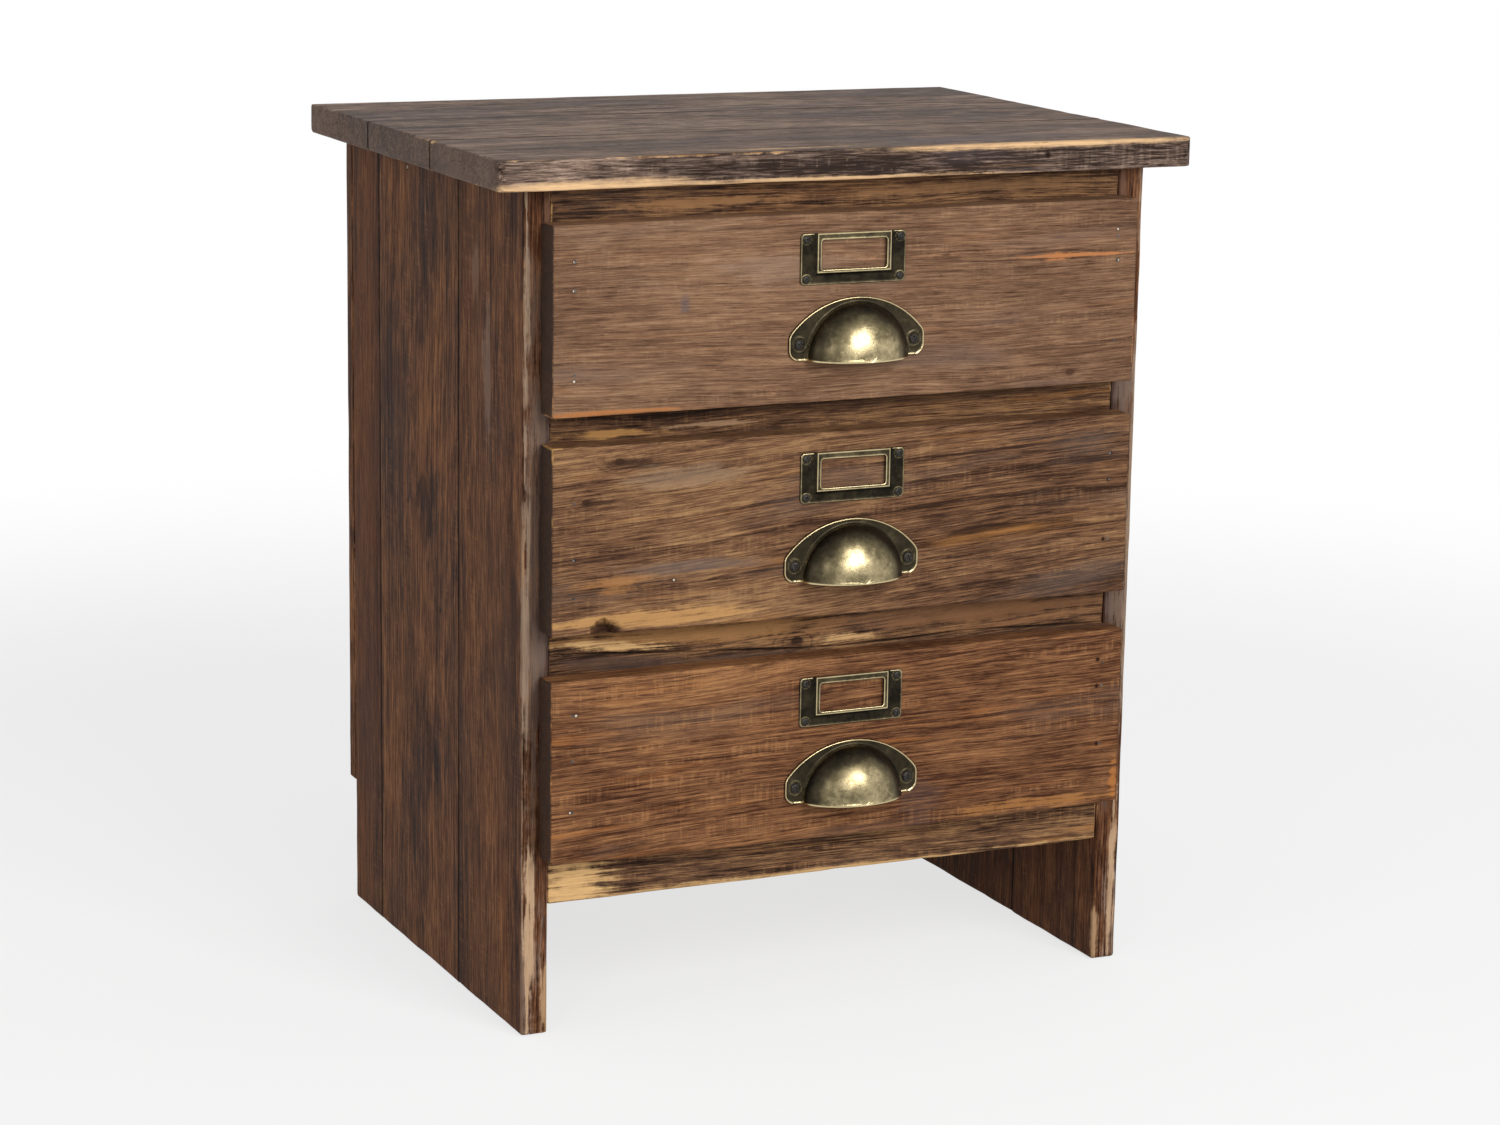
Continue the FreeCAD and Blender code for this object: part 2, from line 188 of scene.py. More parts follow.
# How each kind of board is stained: the deep parts, the even tone, the rubbed
# highs, the cold and the warm patches, and the bare wood where it is worn off.
stains = {
    "top": {"dark": tone(46, 35, 30), "middle": tone(112, 93, 82), "light": tone(176, 152, 134),
            "cold": tone(98, 88, 90), "warm": tone(142, 102, 66), "bare": tone(226, 186, 140)},
    "side": {"dark": tone(34, 18, 11), "middle": tone(91, 58, 39), "light": tone(150, 104, 70),
             "cold": tone(70, 48, 36), "warm": tone(128, 74, 38), "bare": tone(190, 152, 114)},
    "rail": {"dark": tone(40, 27, 20), "middle": tone(98, 70, 52), "light": tone(156, 118, 80),
             "cold": tone(84, 72, 66), "warm": tone(150, 102, 58), "bare": tone(222, 180, 124)},
    "warmFront": {"dark": tone(70, 48, 36), "middle": tone(123, 92, 70),
                  "light": tone(162, 130, 100), "cold": tone(108, 90, 80),
                  "warm": tone(158, 104, 66), "bare": tone(206, 160, 112)},
    "streakedFront": {"dark": tone(52, 34, 25), "middle": tone(111, 79, 57),
                      "light": tone(160, 124, 86), "cold": tone(98, 84, 76),
                      "warm": tone(158, 108, 60), "bare": tone(212, 168, 104)},
    "redFront": {"dark": tone(62, 36, 24), "middle": tone(118, 80, 54), "light": tone(162, 116, 76),
                 "cold": tone(94, 76, 66), "warm": tone(160, 100, 52), "bare": tone(208, 156, 96)},
    "inner": {"dark": tone(136, 98, 66), "middle": tone(182, 146, 106),
              "light": tone(208, 176, 136), "cold": tone(160, 138, 118),
              "warm": tone(188, 136, 84), "bare": tone(222, 196, 160)},
}


# The layers of the grain: how fine each is along and across it, which part of
# the noise it takes, how many octaves it has and how rough it is.
layers = {
    "wander": (3.4, 8, 1, 2, 0.5),
    "fibre": (7, 330, 1, 5, 0.76),
    "thread": (42, 1250, -1, 3, 0.78),
    "cloud": (8, 17, 2, 4, 0.6),
    "mottle": (40, 84, 3, 5, 0.72),
    "zone": (5, 26, 4, 3, 0.55),
    "drift": (7, 75, 5, 4, 0.6),
    "line": (5, 620, 10, 3, 0.6),
    "saw": (430, 34, 6, 2, 0.5),
    "sawBand": (9, 110, 7, 2, 0.5),
    "pores": (130, 1300, 8, 2, 0.6),
    "scuff": (60, 210, 9, 5, 0.8),
}

# How much a layer lightens the stain, or darkens it, and how far it stands out.
tints = {"fibre": 1.2, "thread": 2.6, "cloud": 1.1, "mottle": 0.9, "saw": 0.16, "late": 0.45,
         "lightLine": 0.22, "darkLine": 0.34}
reliefs = {"fibre": 0.45, "thread": 0.35, "mottle": 0.3, "late": 0.4, "saw": 0.6, "pores": 0.4,
           "knot": 0.5}

# What a board's look says unless it says otherwise.
plainLook = {
    "slope": 0.0, "wander": 0.02, "pith": (0.0, 0.05), "ringGap": 0.0045, "ringDark": 0.7,
    "lines": 0.8, "saw": 0.5, "contrast": 1.0, "cold": 0.45, "warm": 0.7, "scuff": 0.35,
    "wear": 0.004, "wearStrength": 0.85, "relief": 0.55, "knots": (), "shaded": (),
    "patches": (), "ends": (), "seams": (), "marks": (),
}
soot = tone(24, 17, 14)
knotHeart = tone(26, 18, 15)


# A patch of other stain: its middle and its reach along, across and into the
# board, how strong it is, its colour, and how ragged its rim is.
def stainPatch(at, size, strength, colour, ragged=1.0, **more):
    return {"at": at, "size": size, "strength": strength, "colour": colour, "ragged": ragged, **more}


def largest(values):
    found = values[0]
    for value in values[1:]:
        found = found.atLeast(value)
    return found


# How far the place on a board is from a middle, in shares of a size.
def awayFrom(place, middle, size=(1, 1, 1)):
    total = None
    for axis, centre, reach in zip(place, middle, size):
        square = ((axis - centre) * (1 / reach)).power(2)
        total = square if total is None else total + square
    return total.power(0.5)


# Stained wood. The letters of grain name the axes along, across and into the
# board, and edges hold its faces: (low, high) for each axis.
def woodMaterial(name, look, edges):
    look = {**plainLook, **look}
    shade = Shade(bpy.data.materials.new(name))
    stain = stains[look["stain"]]
    everywhere = shade.place()
    axes = dict(zip("xyz", shade.split(everywhere)))
    along, across, deep = (axes[letter] for letter in look["grain"])
    seed = look["seed"]

    def grain(layer, line=None):
        alongScale, acrossScale, shift, detail, rough = layers[layer]
        return shade.speckle((along, line or across, deep), (alongScale, acrossScale, acrossScale),
                             seed * shift, detail, rough)

    bent = across - along * look["slope"] + (grain("wander") - 0.5) * look["wander"]
    fibre = grain("fibre", bent)
    thread = grain("thread", bent)
    cloud = grain("cloud")
    mottle = grain("mottle")
    zone = grain("zone", bent)

    # 1 at the middle of a spot on the board, 0 at its rim, negative outside it
    def nearness(spot):
        leant = across
        if "lean" in spot:
            leant = across - (along - spot["at"][0]) * spot["lean"]
        return 1 - awayFrom((along, leant, deep), spot["at"], spot["size"])

    # growth rings round a pith line, with the knots bending them outward
    pithAcross, pithDeep = look["pith"]
    offset, sunk = bent - pithAcross, deep - pithDeep
    ring = (offset * offset + sunk * sunk).power(0.5) * (1 / look["ringGap"])
    ring = ring + (cloud - 0.5) * 0.8 + (fibre - 0.5) * 0.12
    cores = []
    for knotAlong, knotAcross, size in look["knots"]:
        far = ((along - knotAlong) * 0.6).power(2) + (across - knotAcross).power(2)
        far = far.power(0.5) + (mottle - 0.5) * size * 0.9
        ring = ring + far.rise(size * 3.0, 0) * 2.4
        cores.append(far.rise(size * 0.8, size * 0.35))
    late = ring.math("FRACT")
    late = late.rise(0.55, 0.93) * late.rise(1.0, 0.96)
    late = late * (zone.rise(0.38, 0.6) * 0.7 + 0.3) * look["ringDark"]

    # long thin lines of the grain, dark ones and light ones
    line = grain("line", bent)
    darkLine = line.rise(0.57, 0.68) * look["lines"]
    lightLine = line.rise(0.43, 0.33) * look["lines"]

    # saw marks across the grain, in bands along it
    sawBand = grain("sawBand", bent).rise(0.5, 0.62)
    saw = grain("saw").rise(0.5, 0.66) * sawBand * look["saw"]

    level = 0.5 + (fibre - 0.5) * tints["fibre"] + (thread - 0.5) * tints["thread"]
    level = level + (cloud - 0.5) * tints["cloud"] + (mottle - 0.5) * tints["mottle"]
    level = level + saw * tints["saw"] - late * tints["late"]
    level = level + lightLine * tints["lightLine"] - darkLine * tints["darkLine"]
    level = level * look["contrast"] + (0.5 - 0.5 * look["contrast"])
    # Shaded spots lower the level under a soft spot and raise it where the amount is negative. On the
    # drawer fronts this is painted shade and painted light for how the light falls across them; on the
    # front face of the top it darkens the middle.
    for spot in look["shaded"]:
        level = level - nearness(spot).rise(0, 1) * spot["amount"]
    colour = shade.ramp(level, [
        (0.08, stain["dark"]), (0.5, stain["middle"]), (0.95, stain["light"])])
    cold = zone.rise(0.54, 0.70) * look["cold"]
    colour = shade.mix(cold, colour, stain["cold"])
    warm = grain("drift", bent).rise(0.58, 0.72) * fibre.rise(0.35, 0.62) * look["warm"]
    colour = shade.mix(warm, colour, stain["warm"])
    colour = shade.mix(lightLine * fibre.rise(0.4, 0.6) * 0.5, colour, stain["warm"])
    colour = shade.mix(saw * thread.rise(0.45, 0.6) * 0.4, colour, stain["light"])

    # small pores and scuffs
    pores = grain("pores", bent).rise(0.62, 0.72)
    colour = shade.mix(pores * 0.45, colour, stain["dark"])
    colour = shade.mix(grain("scuff").rise(0.66, 0.76) * look["scuff"], colour, stain["bare"])

    for patch in look["patches"]:
        cover = nearness(patch) + 0.1
        cover = cover + ((fibre - 0.5) * 2.6 + (mottle - 0.5) * 1.4) * patch["ragged"]
        cover = cover.rise(0.15, 0.7) * patch["strength"]
        paint = shade.mix(thread.rise(0.4, 0.7) * 0.35, patch["colour"], stain["middle"])
        colour = shade.mix(cover, colour, paint)

    gaps = {letter: (axes[letter] - low).atMost(high - axes[letter])
            for letter, (low, high) in edges.items()}
    # Near the end faces the colour goes over to another; on the drawer fronts this dark colour is
    # partly end grain and partly painted shade.
    for letter, share, paint in look["ends"]:
        nearEnd = gaps[letter].rise(0.0012, 0.0002)
        colour = shade.mix(nearEnd * share * (mottle * 0.8 + 0.6), colour, paint)

    if cores:
        knotDark = largest(cores)
        colour = shade.mix(knotDark * 0.85, colour, stain["dark"])
        colour = shade.mix(knotDark * mottle.rise(0.5, 0.62) * 0.5, colour, knotHeart)

    # the second smallest distance to a face is the distance to the nearest arris
    first, second, third = gaps.values()
    most = first.atLeast(second).atLeast(third)
    least = first.atMost(second).atMost(third)
    arris = first + second + third - most - least
    ragged = shade.noise(everywhere, 130 + seed * 0.3, 5, 0.75)
    broad = shade.noise(everywhere, 17 + seed * 0.1, 3, 0.55)
    reach = (ragged * 0.9 + broad * 2.0 - 1.32) * look["wear"]
    rubbed = (reach - arris).rise(-0.0002, 0.0007) * look["wearStrength"]
    colour = shade.mix(rubbed, colour, shade.mix(fibre.rise(0.35, 0.6), stain["warm"], stain["bare"]))
    for letter, seam in look["seams"]:
        grime = abs(axes[letter] - seam) + (ragged - 0.5) * 0.0012
        colour = shade.mix(grime.rise(0.0022, 0.0006) * 0.9, colour, soot)

    dents = []
    for *centre, size, paint in look["marks"]:
        far = awayFrom((along, across, deep), centre) + (ragged - 0.5) * 0.0008
        dents.append(far.rise(size * 2.0, size * 1.1))
        colour = shade.mix(dents[-1] * 0.75, colour, stain["dark"])
        colour = shade.mix(far.rise(size * 1.15, size * 0.6) * 0.9, colour, paint)

    height = fibre * reliefs["fibre"] + thread * reliefs["thread"] + mottle * reliefs["mottle"]
    height = height - late * reliefs["late"] + saw * reliefs["saw"] - pores * reliefs["pores"]
    if cores:
        height = height - knotDark * reliefs["knot"]
    if dents:
        height = height - largest(dents)
    normal = shade.bump(height, look["relief"], 0.0008)
    rough = 0.58 + (cloud - 0.5) * 0.3 + (thread - 0.5) * 0.2 + rubbed * 0.1
    return shade.finish(colour, rough, normal, **{"Specular IOR Level": 0.04})


# What a board's shape says unless it says otherwise: how far apart the lines of
# its mesh are, how much its arrises are rounded and chipped, how wavy its faces
# are, the faces that meet another board, corners with a round of their own, more
# lines, and a function that moves each point.
plainShape = {"step": 0.012, "ease": 0.0016, "chips": 0.004, "wave": 0.00025, "eased": {},
              "corner": {}, "extra": {}, "reshape": None}
arrisGaps = (0, 0.0005, 0.0012, 0.0022, 0.0034, 0.005)


# Lines across a board, close together near its arrises.
def gridLines(low, high, step, extra=()):
    span = high - low - 2 * arrisGaps[-1]
    count = max(1, round(span / step))
    lines = [low + arrisGaps[-1] + span * index / count for index in range(1, count)]
    lines += [low + gap for gap in arrisGaps] + [high - gap for gap in arrisGaps] + list(extra)
    kept = []
    for line in sorted(lines):
        if not kept or line - kept[-1] > 0.00015:
            kept.append(line)
    kept[-1] = high
    return kept


# A sawn board whose arrises are rounded unevenly, always inward.
def boardMesh(name, low, high, shape):
    shape = {**plainShape, **shape}
    lines = [gridLines(low[axis], high[axis], shape["step"], shape["extra"].get(axis, ()))
             for axis in range(3)]
    last = [len(line) - 1 for line in lines]
    seed = shape["seed"]
    places = {}
    points = []

    def easing(first, second, gap, side, spot):
        third = 3 - first - second
        radius = shape["ease"]
        for face, fixed in shape["eased"].items():
            if face in ((first, side[first]), (second, side[second])):
                radius = fixed
        run = Vector((spot[third] * 30, seed + first * 5 + side[first], second * 3 + side[second]))
        radius *= 1 + 0.7 * noise.noise(run)
        chip = noise.noise(run * 3.1) - 0.42
        radius += max(0, chip) * shape["chips"]
        corner = shape["corner"].get((first, side[first], second, side[second]))
        radius = min(corner or radius, arrisGaps[-1])
        across, beside = radius - gap[first], radius - gap[second]
        if across <= 0 or beside <= 0:
            return 0, 0
        shrink = max(across, beside) / math.hypot(across, beside)
        return across * (1 - shrink), beside * (1 - shrink)

    def vertex(index):
        if index in places:
            return places[index]
        spot = Vector(lines[axis][index[axis]] for axis in range(3))
        gap = [min(spot[axis] - low[axis], high[axis] - spot[axis]) for axis in range(3)]
        side = [0 if spot[axis] - low[axis] <= high[axis] - spot[axis] else 1
                for axis in range(3)]
        inward = [0, 0, 0]
        for first, second in ((0, 1), (0, 2), (1, 2)):
            push = easing(first, second, gap, side, spot)
            inward[first] += push[0]
            inward[second] += push[1]
        for axis in range(3):
            if gap[axis] < 1e-6:
                wave = 0.5 + 0.5 * noise.noise(spot * 24 + Vector((seed, axis * 3, 0)))
                inward[axis] += shape["wave"] * wave
        moved = Vector(spot[axis] + (inward[axis] if side[axis] == 0 else -inward[axis])
                       for axis in range(3))
        if shape["reshape"]:
            moved = shape["reshape"](moved, spot)
        places[index] = len(points)
        points.append(moved)
        return places[index]

    faces = []
    for axis in range(3):
        first, second = ((1, 2), (2, 0), (0, 1))[axis]
        for end in (0, last[axis]):
            for column in range(last[first]):
                for row in range(last[second]):
                    corners = []
                    for right, up in ((0, 0), (1, 0), (1, 1), (0, 1)):
                        index = [0, 0, 0]
                        index[axis], index[first], index[second] = end, column + right, row + up
                        corners.append(vertex(tuple(index)))
                    faces.append(corners if end else corners[::-1])
    mesh = bpy.data.meshes.new(name)
    mesh.from_pydata(points, [], faces)
    mesh.polygons.foreach_set("use_smooth", [True] * len(faces))
    return mesh


def addPiece(name, mesh, body, nodes, material, at=(0, 0, 0)):
    piece = bpy.data.objects.new(name, mesh)
    bpy.context.scene.collection.objects.link(piece)
    mesh.materials.append(material)
    piece.location = at
    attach(piece, body)
    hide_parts(*nodes)
    return piece


# A node's lowest and highest corner, and its faces as (low, high) for each axis
def nodeCorners(node):
    return tuple(Vector(corner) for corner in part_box(node))


def nodeFaces(node):
    low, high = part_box(node)
    return {letter: (low[axis], high[axis]) for axis, letter in enumerate("xyz")}


def addBoard(node, body, look, shape):
    low, high = nodeCorners(node)
    material = woodMaterial(node + "Wood", look, nodeFaces(node))
    mesh = boardMesh(node + "Worn", low, high, {"seed": look["seed"], **shape})
    return addPiece(node + "Worn", mesh, body, [node], material)


# The top, three boards with the grain from left to right
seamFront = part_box("top_board_front")[1][1]
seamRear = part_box("top_board_rear")[0][1]
slabFront, slabLow, slabHigh = -0.158, 0.514, 0.5325
topBare = stains["top"]["bare"]
topBoards = {
    "top_board_front": {
        "look": {"seed": 3.7, "pith": (-0.09, 0.45), "slope": 0.02, "wear": 0.0045, "contrast": 0.9,
                 "shaded": ({"at": (0.0, slabFront, 0.523), "size": (0.45, 0.012, 0.02),
                             "amount": 0.29},),
                 "seams": (("y", seamFront),),
                 "marks": ((0.1271, slabFront, 0.5245, 0.0016, tone(28, 20, 16)),),
                 "patches": (
                     stainPatch((-0.165, slabFront, slabLow), (0.11, 0.02, 0.0068), 1.0, topBare, 0.5),
                     stainPatch((-0.02, slabFront, slabLow), (0.12, 0.02, 0.0042), 0.9, topBare, 0.8),
                     stainPatch((0.125, slabFront, slabHigh), (0.14, 0.008, 0.0048), 1.0, topBare,
                                0.6),
                     stainPatch((-0.04, slabFront + 0.014, slabHigh), (0.07, 0.004, 0.004), 0.8,
                                topBare))},
        "eased": {(1, 1): 0.0006}, "corner": {(0, 0, 1, 0): 0.005, (0, 1, 1, 0): 0.005}},
    "top_board_middle": {
        "look": {"seed": 11.3, "pith": (0.03, 0.5), "slope": -0.03, "wear": 0.002,
                 "seams": (("y", seamFront), ("y", seamRear))},
        "eased": {(1, 0): 0.0006, (1, 1): 0.0006}, "corner": {}},
    "top_board_rear": {
        "look": {"seed": 21.9, "pith": (0.13, 0.45), "slope": 0.04, "wear": 0.002,
                 "seams": (("y", seamRear),)},
        "eased": {(1, 0): 0.0006}, "corner": {}},
}
for node, board in topBoards.items():
    look = {"stain": "top", "grain": "xyz", "ringGap": 0.007, "relief": 0.6, "cold": 0.5,
            "contrast": 1.2, "lines": 0.7, "ringDark": 0.35, "ends": (("x", 0.6, tone(92, 76, 68)),),
            **board["look"]}
    shape = {"eased": board["eased"], "corner": board["corner"], "ease": 0.0018}
    addBoard(node, "carcass", look, shape)
print("top boards ready")


# The sides, three upright boards each
sideSeams = (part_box("left_side_board_front")[1][1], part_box("left_side_board_rear")[0][1])
sideFront = -0.139


# The front edge of a side: a dark strip along its inner half is painted shadow of the drawer fronts,
# and the edge is rubbed pale along the outer arris and at the foot.
def edgePatches(outer, inner):
    middle = (outer + inner) / 2
    return tuple(
        stainPatch((height, sideFront, across), (length, 0.004, wide), strength, paint, ragged)
        for height, length, across, wide, strength, paint, ragged in (
            (0.29, 0.22, middle, 0.016, 0.5, tone(112, 98, 88), 1.2),
            # painted shadow of the drawer fronts along the inner half of the edge
            (0.28, 0.22, inner, 0.011, 0.85, tone(70, 57, 54), 1.5),
            (0.28, 0.22, outer, 0.0042, 0.6, tone(172, 148, 124), 1.8),
            (0.03, 0.075, outer, 0.013, 0.6, tone(146, 124, 108), 1.4),
            (0.05, 0.070, (middle + outer) / 2, 0.0035, 0.7, tone(206, 172, 136), 2.0),
            (0.02, 0.025, inner, 0.006, 0.7, tone(196, 160, 122), 1.6),
            (0.49, 0.035, inner, 0.009, 0.8, tone(116, 86, 70), 0.8),
            (0.235, 0.020, middle, 0.010, 0.55, tone(124, 106, 94), 1.2),
            (0.375, 0.020, middle, 0.010, 0.55, tone(124, 106, 94), 1.2)))


sideFace = 0.206
sideMarks = {
    "left": ((0.5042, 0.0599, -sideFace, 0.0012, tone(196, 176, 160)),
             (0.2928, 0.0601, -sideFace, 0.0012, tone(34, 24, 20)),
             (0.2340, 0.0017, -sideFace, 0.0014, tone(30, 22, 18))),
    "right": ((0.4410, -0.0400, sideFace, 0.0012, tone(34, 24, 20)),
              (0.1730, 0.0700, sideFace, 0.0012, tone(34, 24, 20)))}
sidePatches = {
    "front": ((0.400, -0.081, 0.045, 0.009, 0.5, tone(142, 118, 104), 1.5),
              (0.455, -0.060, 0.020, 0.006, 0.4, tone(138, 114, 100), 1.5)),
    "middle": ((0.270, 0.1116, 0.280, 0.0014, 0.7, tone(150, 106, 72), 1.4),
               (0.190, 0.060, 0.040, 0.010, 0.5, tone(40, 26, 20), 1.4)),
    "rear": ((0.280, 0.145, 0.420, 0.050, 0.45, tone(74, 40, 25), 0.8),)}
sideBoards = {
    "front": {"seed": 5.2, "pith": (-0.08, 0.30), "slope": 0.01, "seams": (("y", sideSeams[0]),),
              "contrast": 0.8, "warm": 0.35, "cold": 0.5, "wear": 0.0034, "lines": 0.5,
              "wearStrength": 0.7},
    "middle": {"seed": 17.4, "pith": (0.03, 0.28), "slope": -0.015, "lines": 1.0, "warm": 0.5,
               "contrast": 0.92, "cold": 0.2, "seams": (("y", sideSeams[0]), ("y", sideSeams[1]))},
    "rear": {"seed": 29.1, "pith": (0.16, 0.30), "seams": (("y", sideSeams[1]),), "lines": 1.0,
             "warm": 0.4, "contrast": 0.92, "cold": 0.15},
}
sideEased = {"front": {(1, 1): 0.0009}, "middle": {(1, 0): 0.0009, (1, 1): 0.0009},
             "rear": {(1, 0): 0.0009}}
for side, shift in (("left", 0), ("right", 40.0)):
    for strip, look in sideBoards.items():
        node = side + "_side_board_" + strip
        low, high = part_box(node)
        outer, inner = (low.x, high.x) if side == "left" else (high.x, low.x)
        patches = edgePatches(outer, inner) if strip == "front" else ()
        for height, depth, tall, wide, strength, paint, ragged in sidePatches[strip]:
            patches += (stainPatch((height, depth, math.copysign(sideFace, outer)),
                                   (tall, wide, 0.004), strength, paint, ragged),)
        addBoard(node, "carcass",
                 {"stain": "side", "grain": "zyx", "wear": 0.003, "relief": 0.6, "scuff": 0.5,
                  "cold": 0.35, "marks": sideMarks[side], "patches": patches, **look,
                  "seed": look["seed"] + shift},
                 {"eased": sideEased[strip], "ease": 0.0017})
print("side boards ready")


# The rails across the front; the lower one has a long open crack
crackPath = ((-0.189, 0.2360), (-0.0945, 0.2295), (0.0, 0.2245), (0.0945, 0.2270), (0.189, 0.2242))
crackLevel = 0.2295
toeLevel = 0.081


def crackHeight(x):
    for (left, low), (right, high) in zip(crackPath, crackPath[1:]):
        if x <= right:
            share = max(0, (x - left) / (right - left))
            return low + (high - low) * share
    return crackPath[-1][1]


def openCrack(moved, spot):
    low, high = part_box("lower_rail")
    wander = 0.0006 * noise.noise(Vector((spot.x * 90, 4.0, 0)))
    level = crackHeight(spot.x) + wander
    if spot.z <= crackLevel:
        moved.z = low[2] + (moved.z - low[2]) * (level - low[2]) / (crackLevel - low[2])
    else:
        moved.z = high[2] - (high[2] - moved.z) * (high[2] - level) / (high[2] - crackLevel)
    if spot.y < low[1] + 0.0001 and abs(spot.z - crackLevel) < 0.0005:
        moved.y += 0.0022
    return moved


railFace = -0.138
railBare = stains["rail"]["bare"]


def railPatch(x, z, width, height, strength, paint, ragged=1.0, **more):
    return stainPatch((x, z, railFace), (width, height, 0.01), strength, paint, ragged, **more)


# The dark line of the crack, painted shade in the open crack, and the strip below it that took more
# stain
def crackPatches():
    patches = []
    for (left, low), (right, high) in zip(crackPath, crackPath[1:]):
        lean = (high - low) / (right - left)
        middle, level, reach = (left + right) / 2, (low + high) / 2, (right - left) / 2
        patches += [railPatch(middle, level - 0.006, reach * 1.3, 0.0058, 0.75, tone(78, 62, 56), 0.5,
                              lean=lean),
                    # painted shade inside the crack
                    railPatch(middle, level, reach * 1.05, 0.0011, 0.95, tone(24, 16, 13), 0.4,
                              lean=lean)]
    return tuple(patches)


rails = {
    "top_rail": {"look": {"seed": 41.0, "pith": (0.47, 0.1), "warm": 0.8, "patches": (
        railPatch(-0.10, 0.5015, 0.10, 0.004, 0.6, tone(170, 126, 84), 1.5),
        railPatch(0.08, 0.505, 0.12, 0.004, 0.5, tone(150, 112, 78), 1.5))}},
    "upper_rail": {"look": {"seed": 47.0, "pith": (0.40, 0.05), "contrast": 0.9, "patches": (
        # painted shadow along the top of the rail, under the top drawer's front
        railPatch(0.0, 0.376, 0.22, 0.004, 0.6, tone(52, 38, 32), 0.8),
        railPatch(-0.152, 0.367, 0.034, 0.0026, 0.8, tone(190, 142, 84), 1.6),
        railPatch(-0.09, 0.3685, 0.03, 0.002, 0.7, tone(186, 150, 116), 1.6))}},
    "lower_rail": {
        "look": {"seed": 53.0, "pith": (0.29, 0.05), "slope": 0.03,
                 "knots": ((-0.0257, 0.2305, 0.004),),
                 "patches": (
                     railPatch(-0.10, 0.241, 0.12, 0.010, 0.7, tone(176, 130, 82)),
                     railPatch(0.10, 0.239, 0.14, 0.014, 0.7, tone(146, 104, 72)),
                     railPatch(0.012, 0.2300, 0.026, 0.0035, 0.9, tone(214, 172, 120), 1.4),
                     railPatch(-0.14, 0.2365, 0.055, 0.0035, 0.9, railBare, 1.4, lean=-0.06))
                 + crackPatches()},
        "shape": {"extra": {2: [crackLevel + gap for gap in (-0.0012, -0.0006, 0, 0.0006, 0.0012)]},
                  "reshape": openCrack}},
    "bottom_rail": {"look": {"seed": 59.0, "pith": (0.16, 0.05), "saw": 0.8, "patches": (
        railPatch(-0.1725, 0.0905, 0.030, 0.018, 0.95, railBare),
        railPatch(0.0, toeLevel, 0.25, 0.0035, 0.8, railBare))}},
}
for node, rail in rails.items():
    look = {"stain": "rail", "grain": "xzy", "wear": 0.004, **rail["look"]}
    addBoard(node, "carcass", look, {"ease": 0.0014, **rail.get("shape", {})})
print("rails ready")


# The drawer fronts, each sawn a little out of square: the heights of the lower
# and the upper edge at the left and the right end.
frontFace = -0.158
pale = tone(204, 190, 172)
black = tone(24, 18, 15)


def frontPatch(x, z, width, height, strength, paint, ragged=1.0):
    return stainPatch((x, z, frontFace), (width, height, 0.02), strength, paint, ragged)


# Painted shade on a drawer front: a soft spot whose level goes down by the amount, or painted light
# where the amount is negative.
def paintedFrontShading(x, z, width, height, amount):
    return {"at": (x, z, frontFace), "size": (width, height, 0.03), "amount": amount}


def nailMarks(size, paint, *places):
    return tuple((x, z, frontFace, size, paint) for x, z in places)
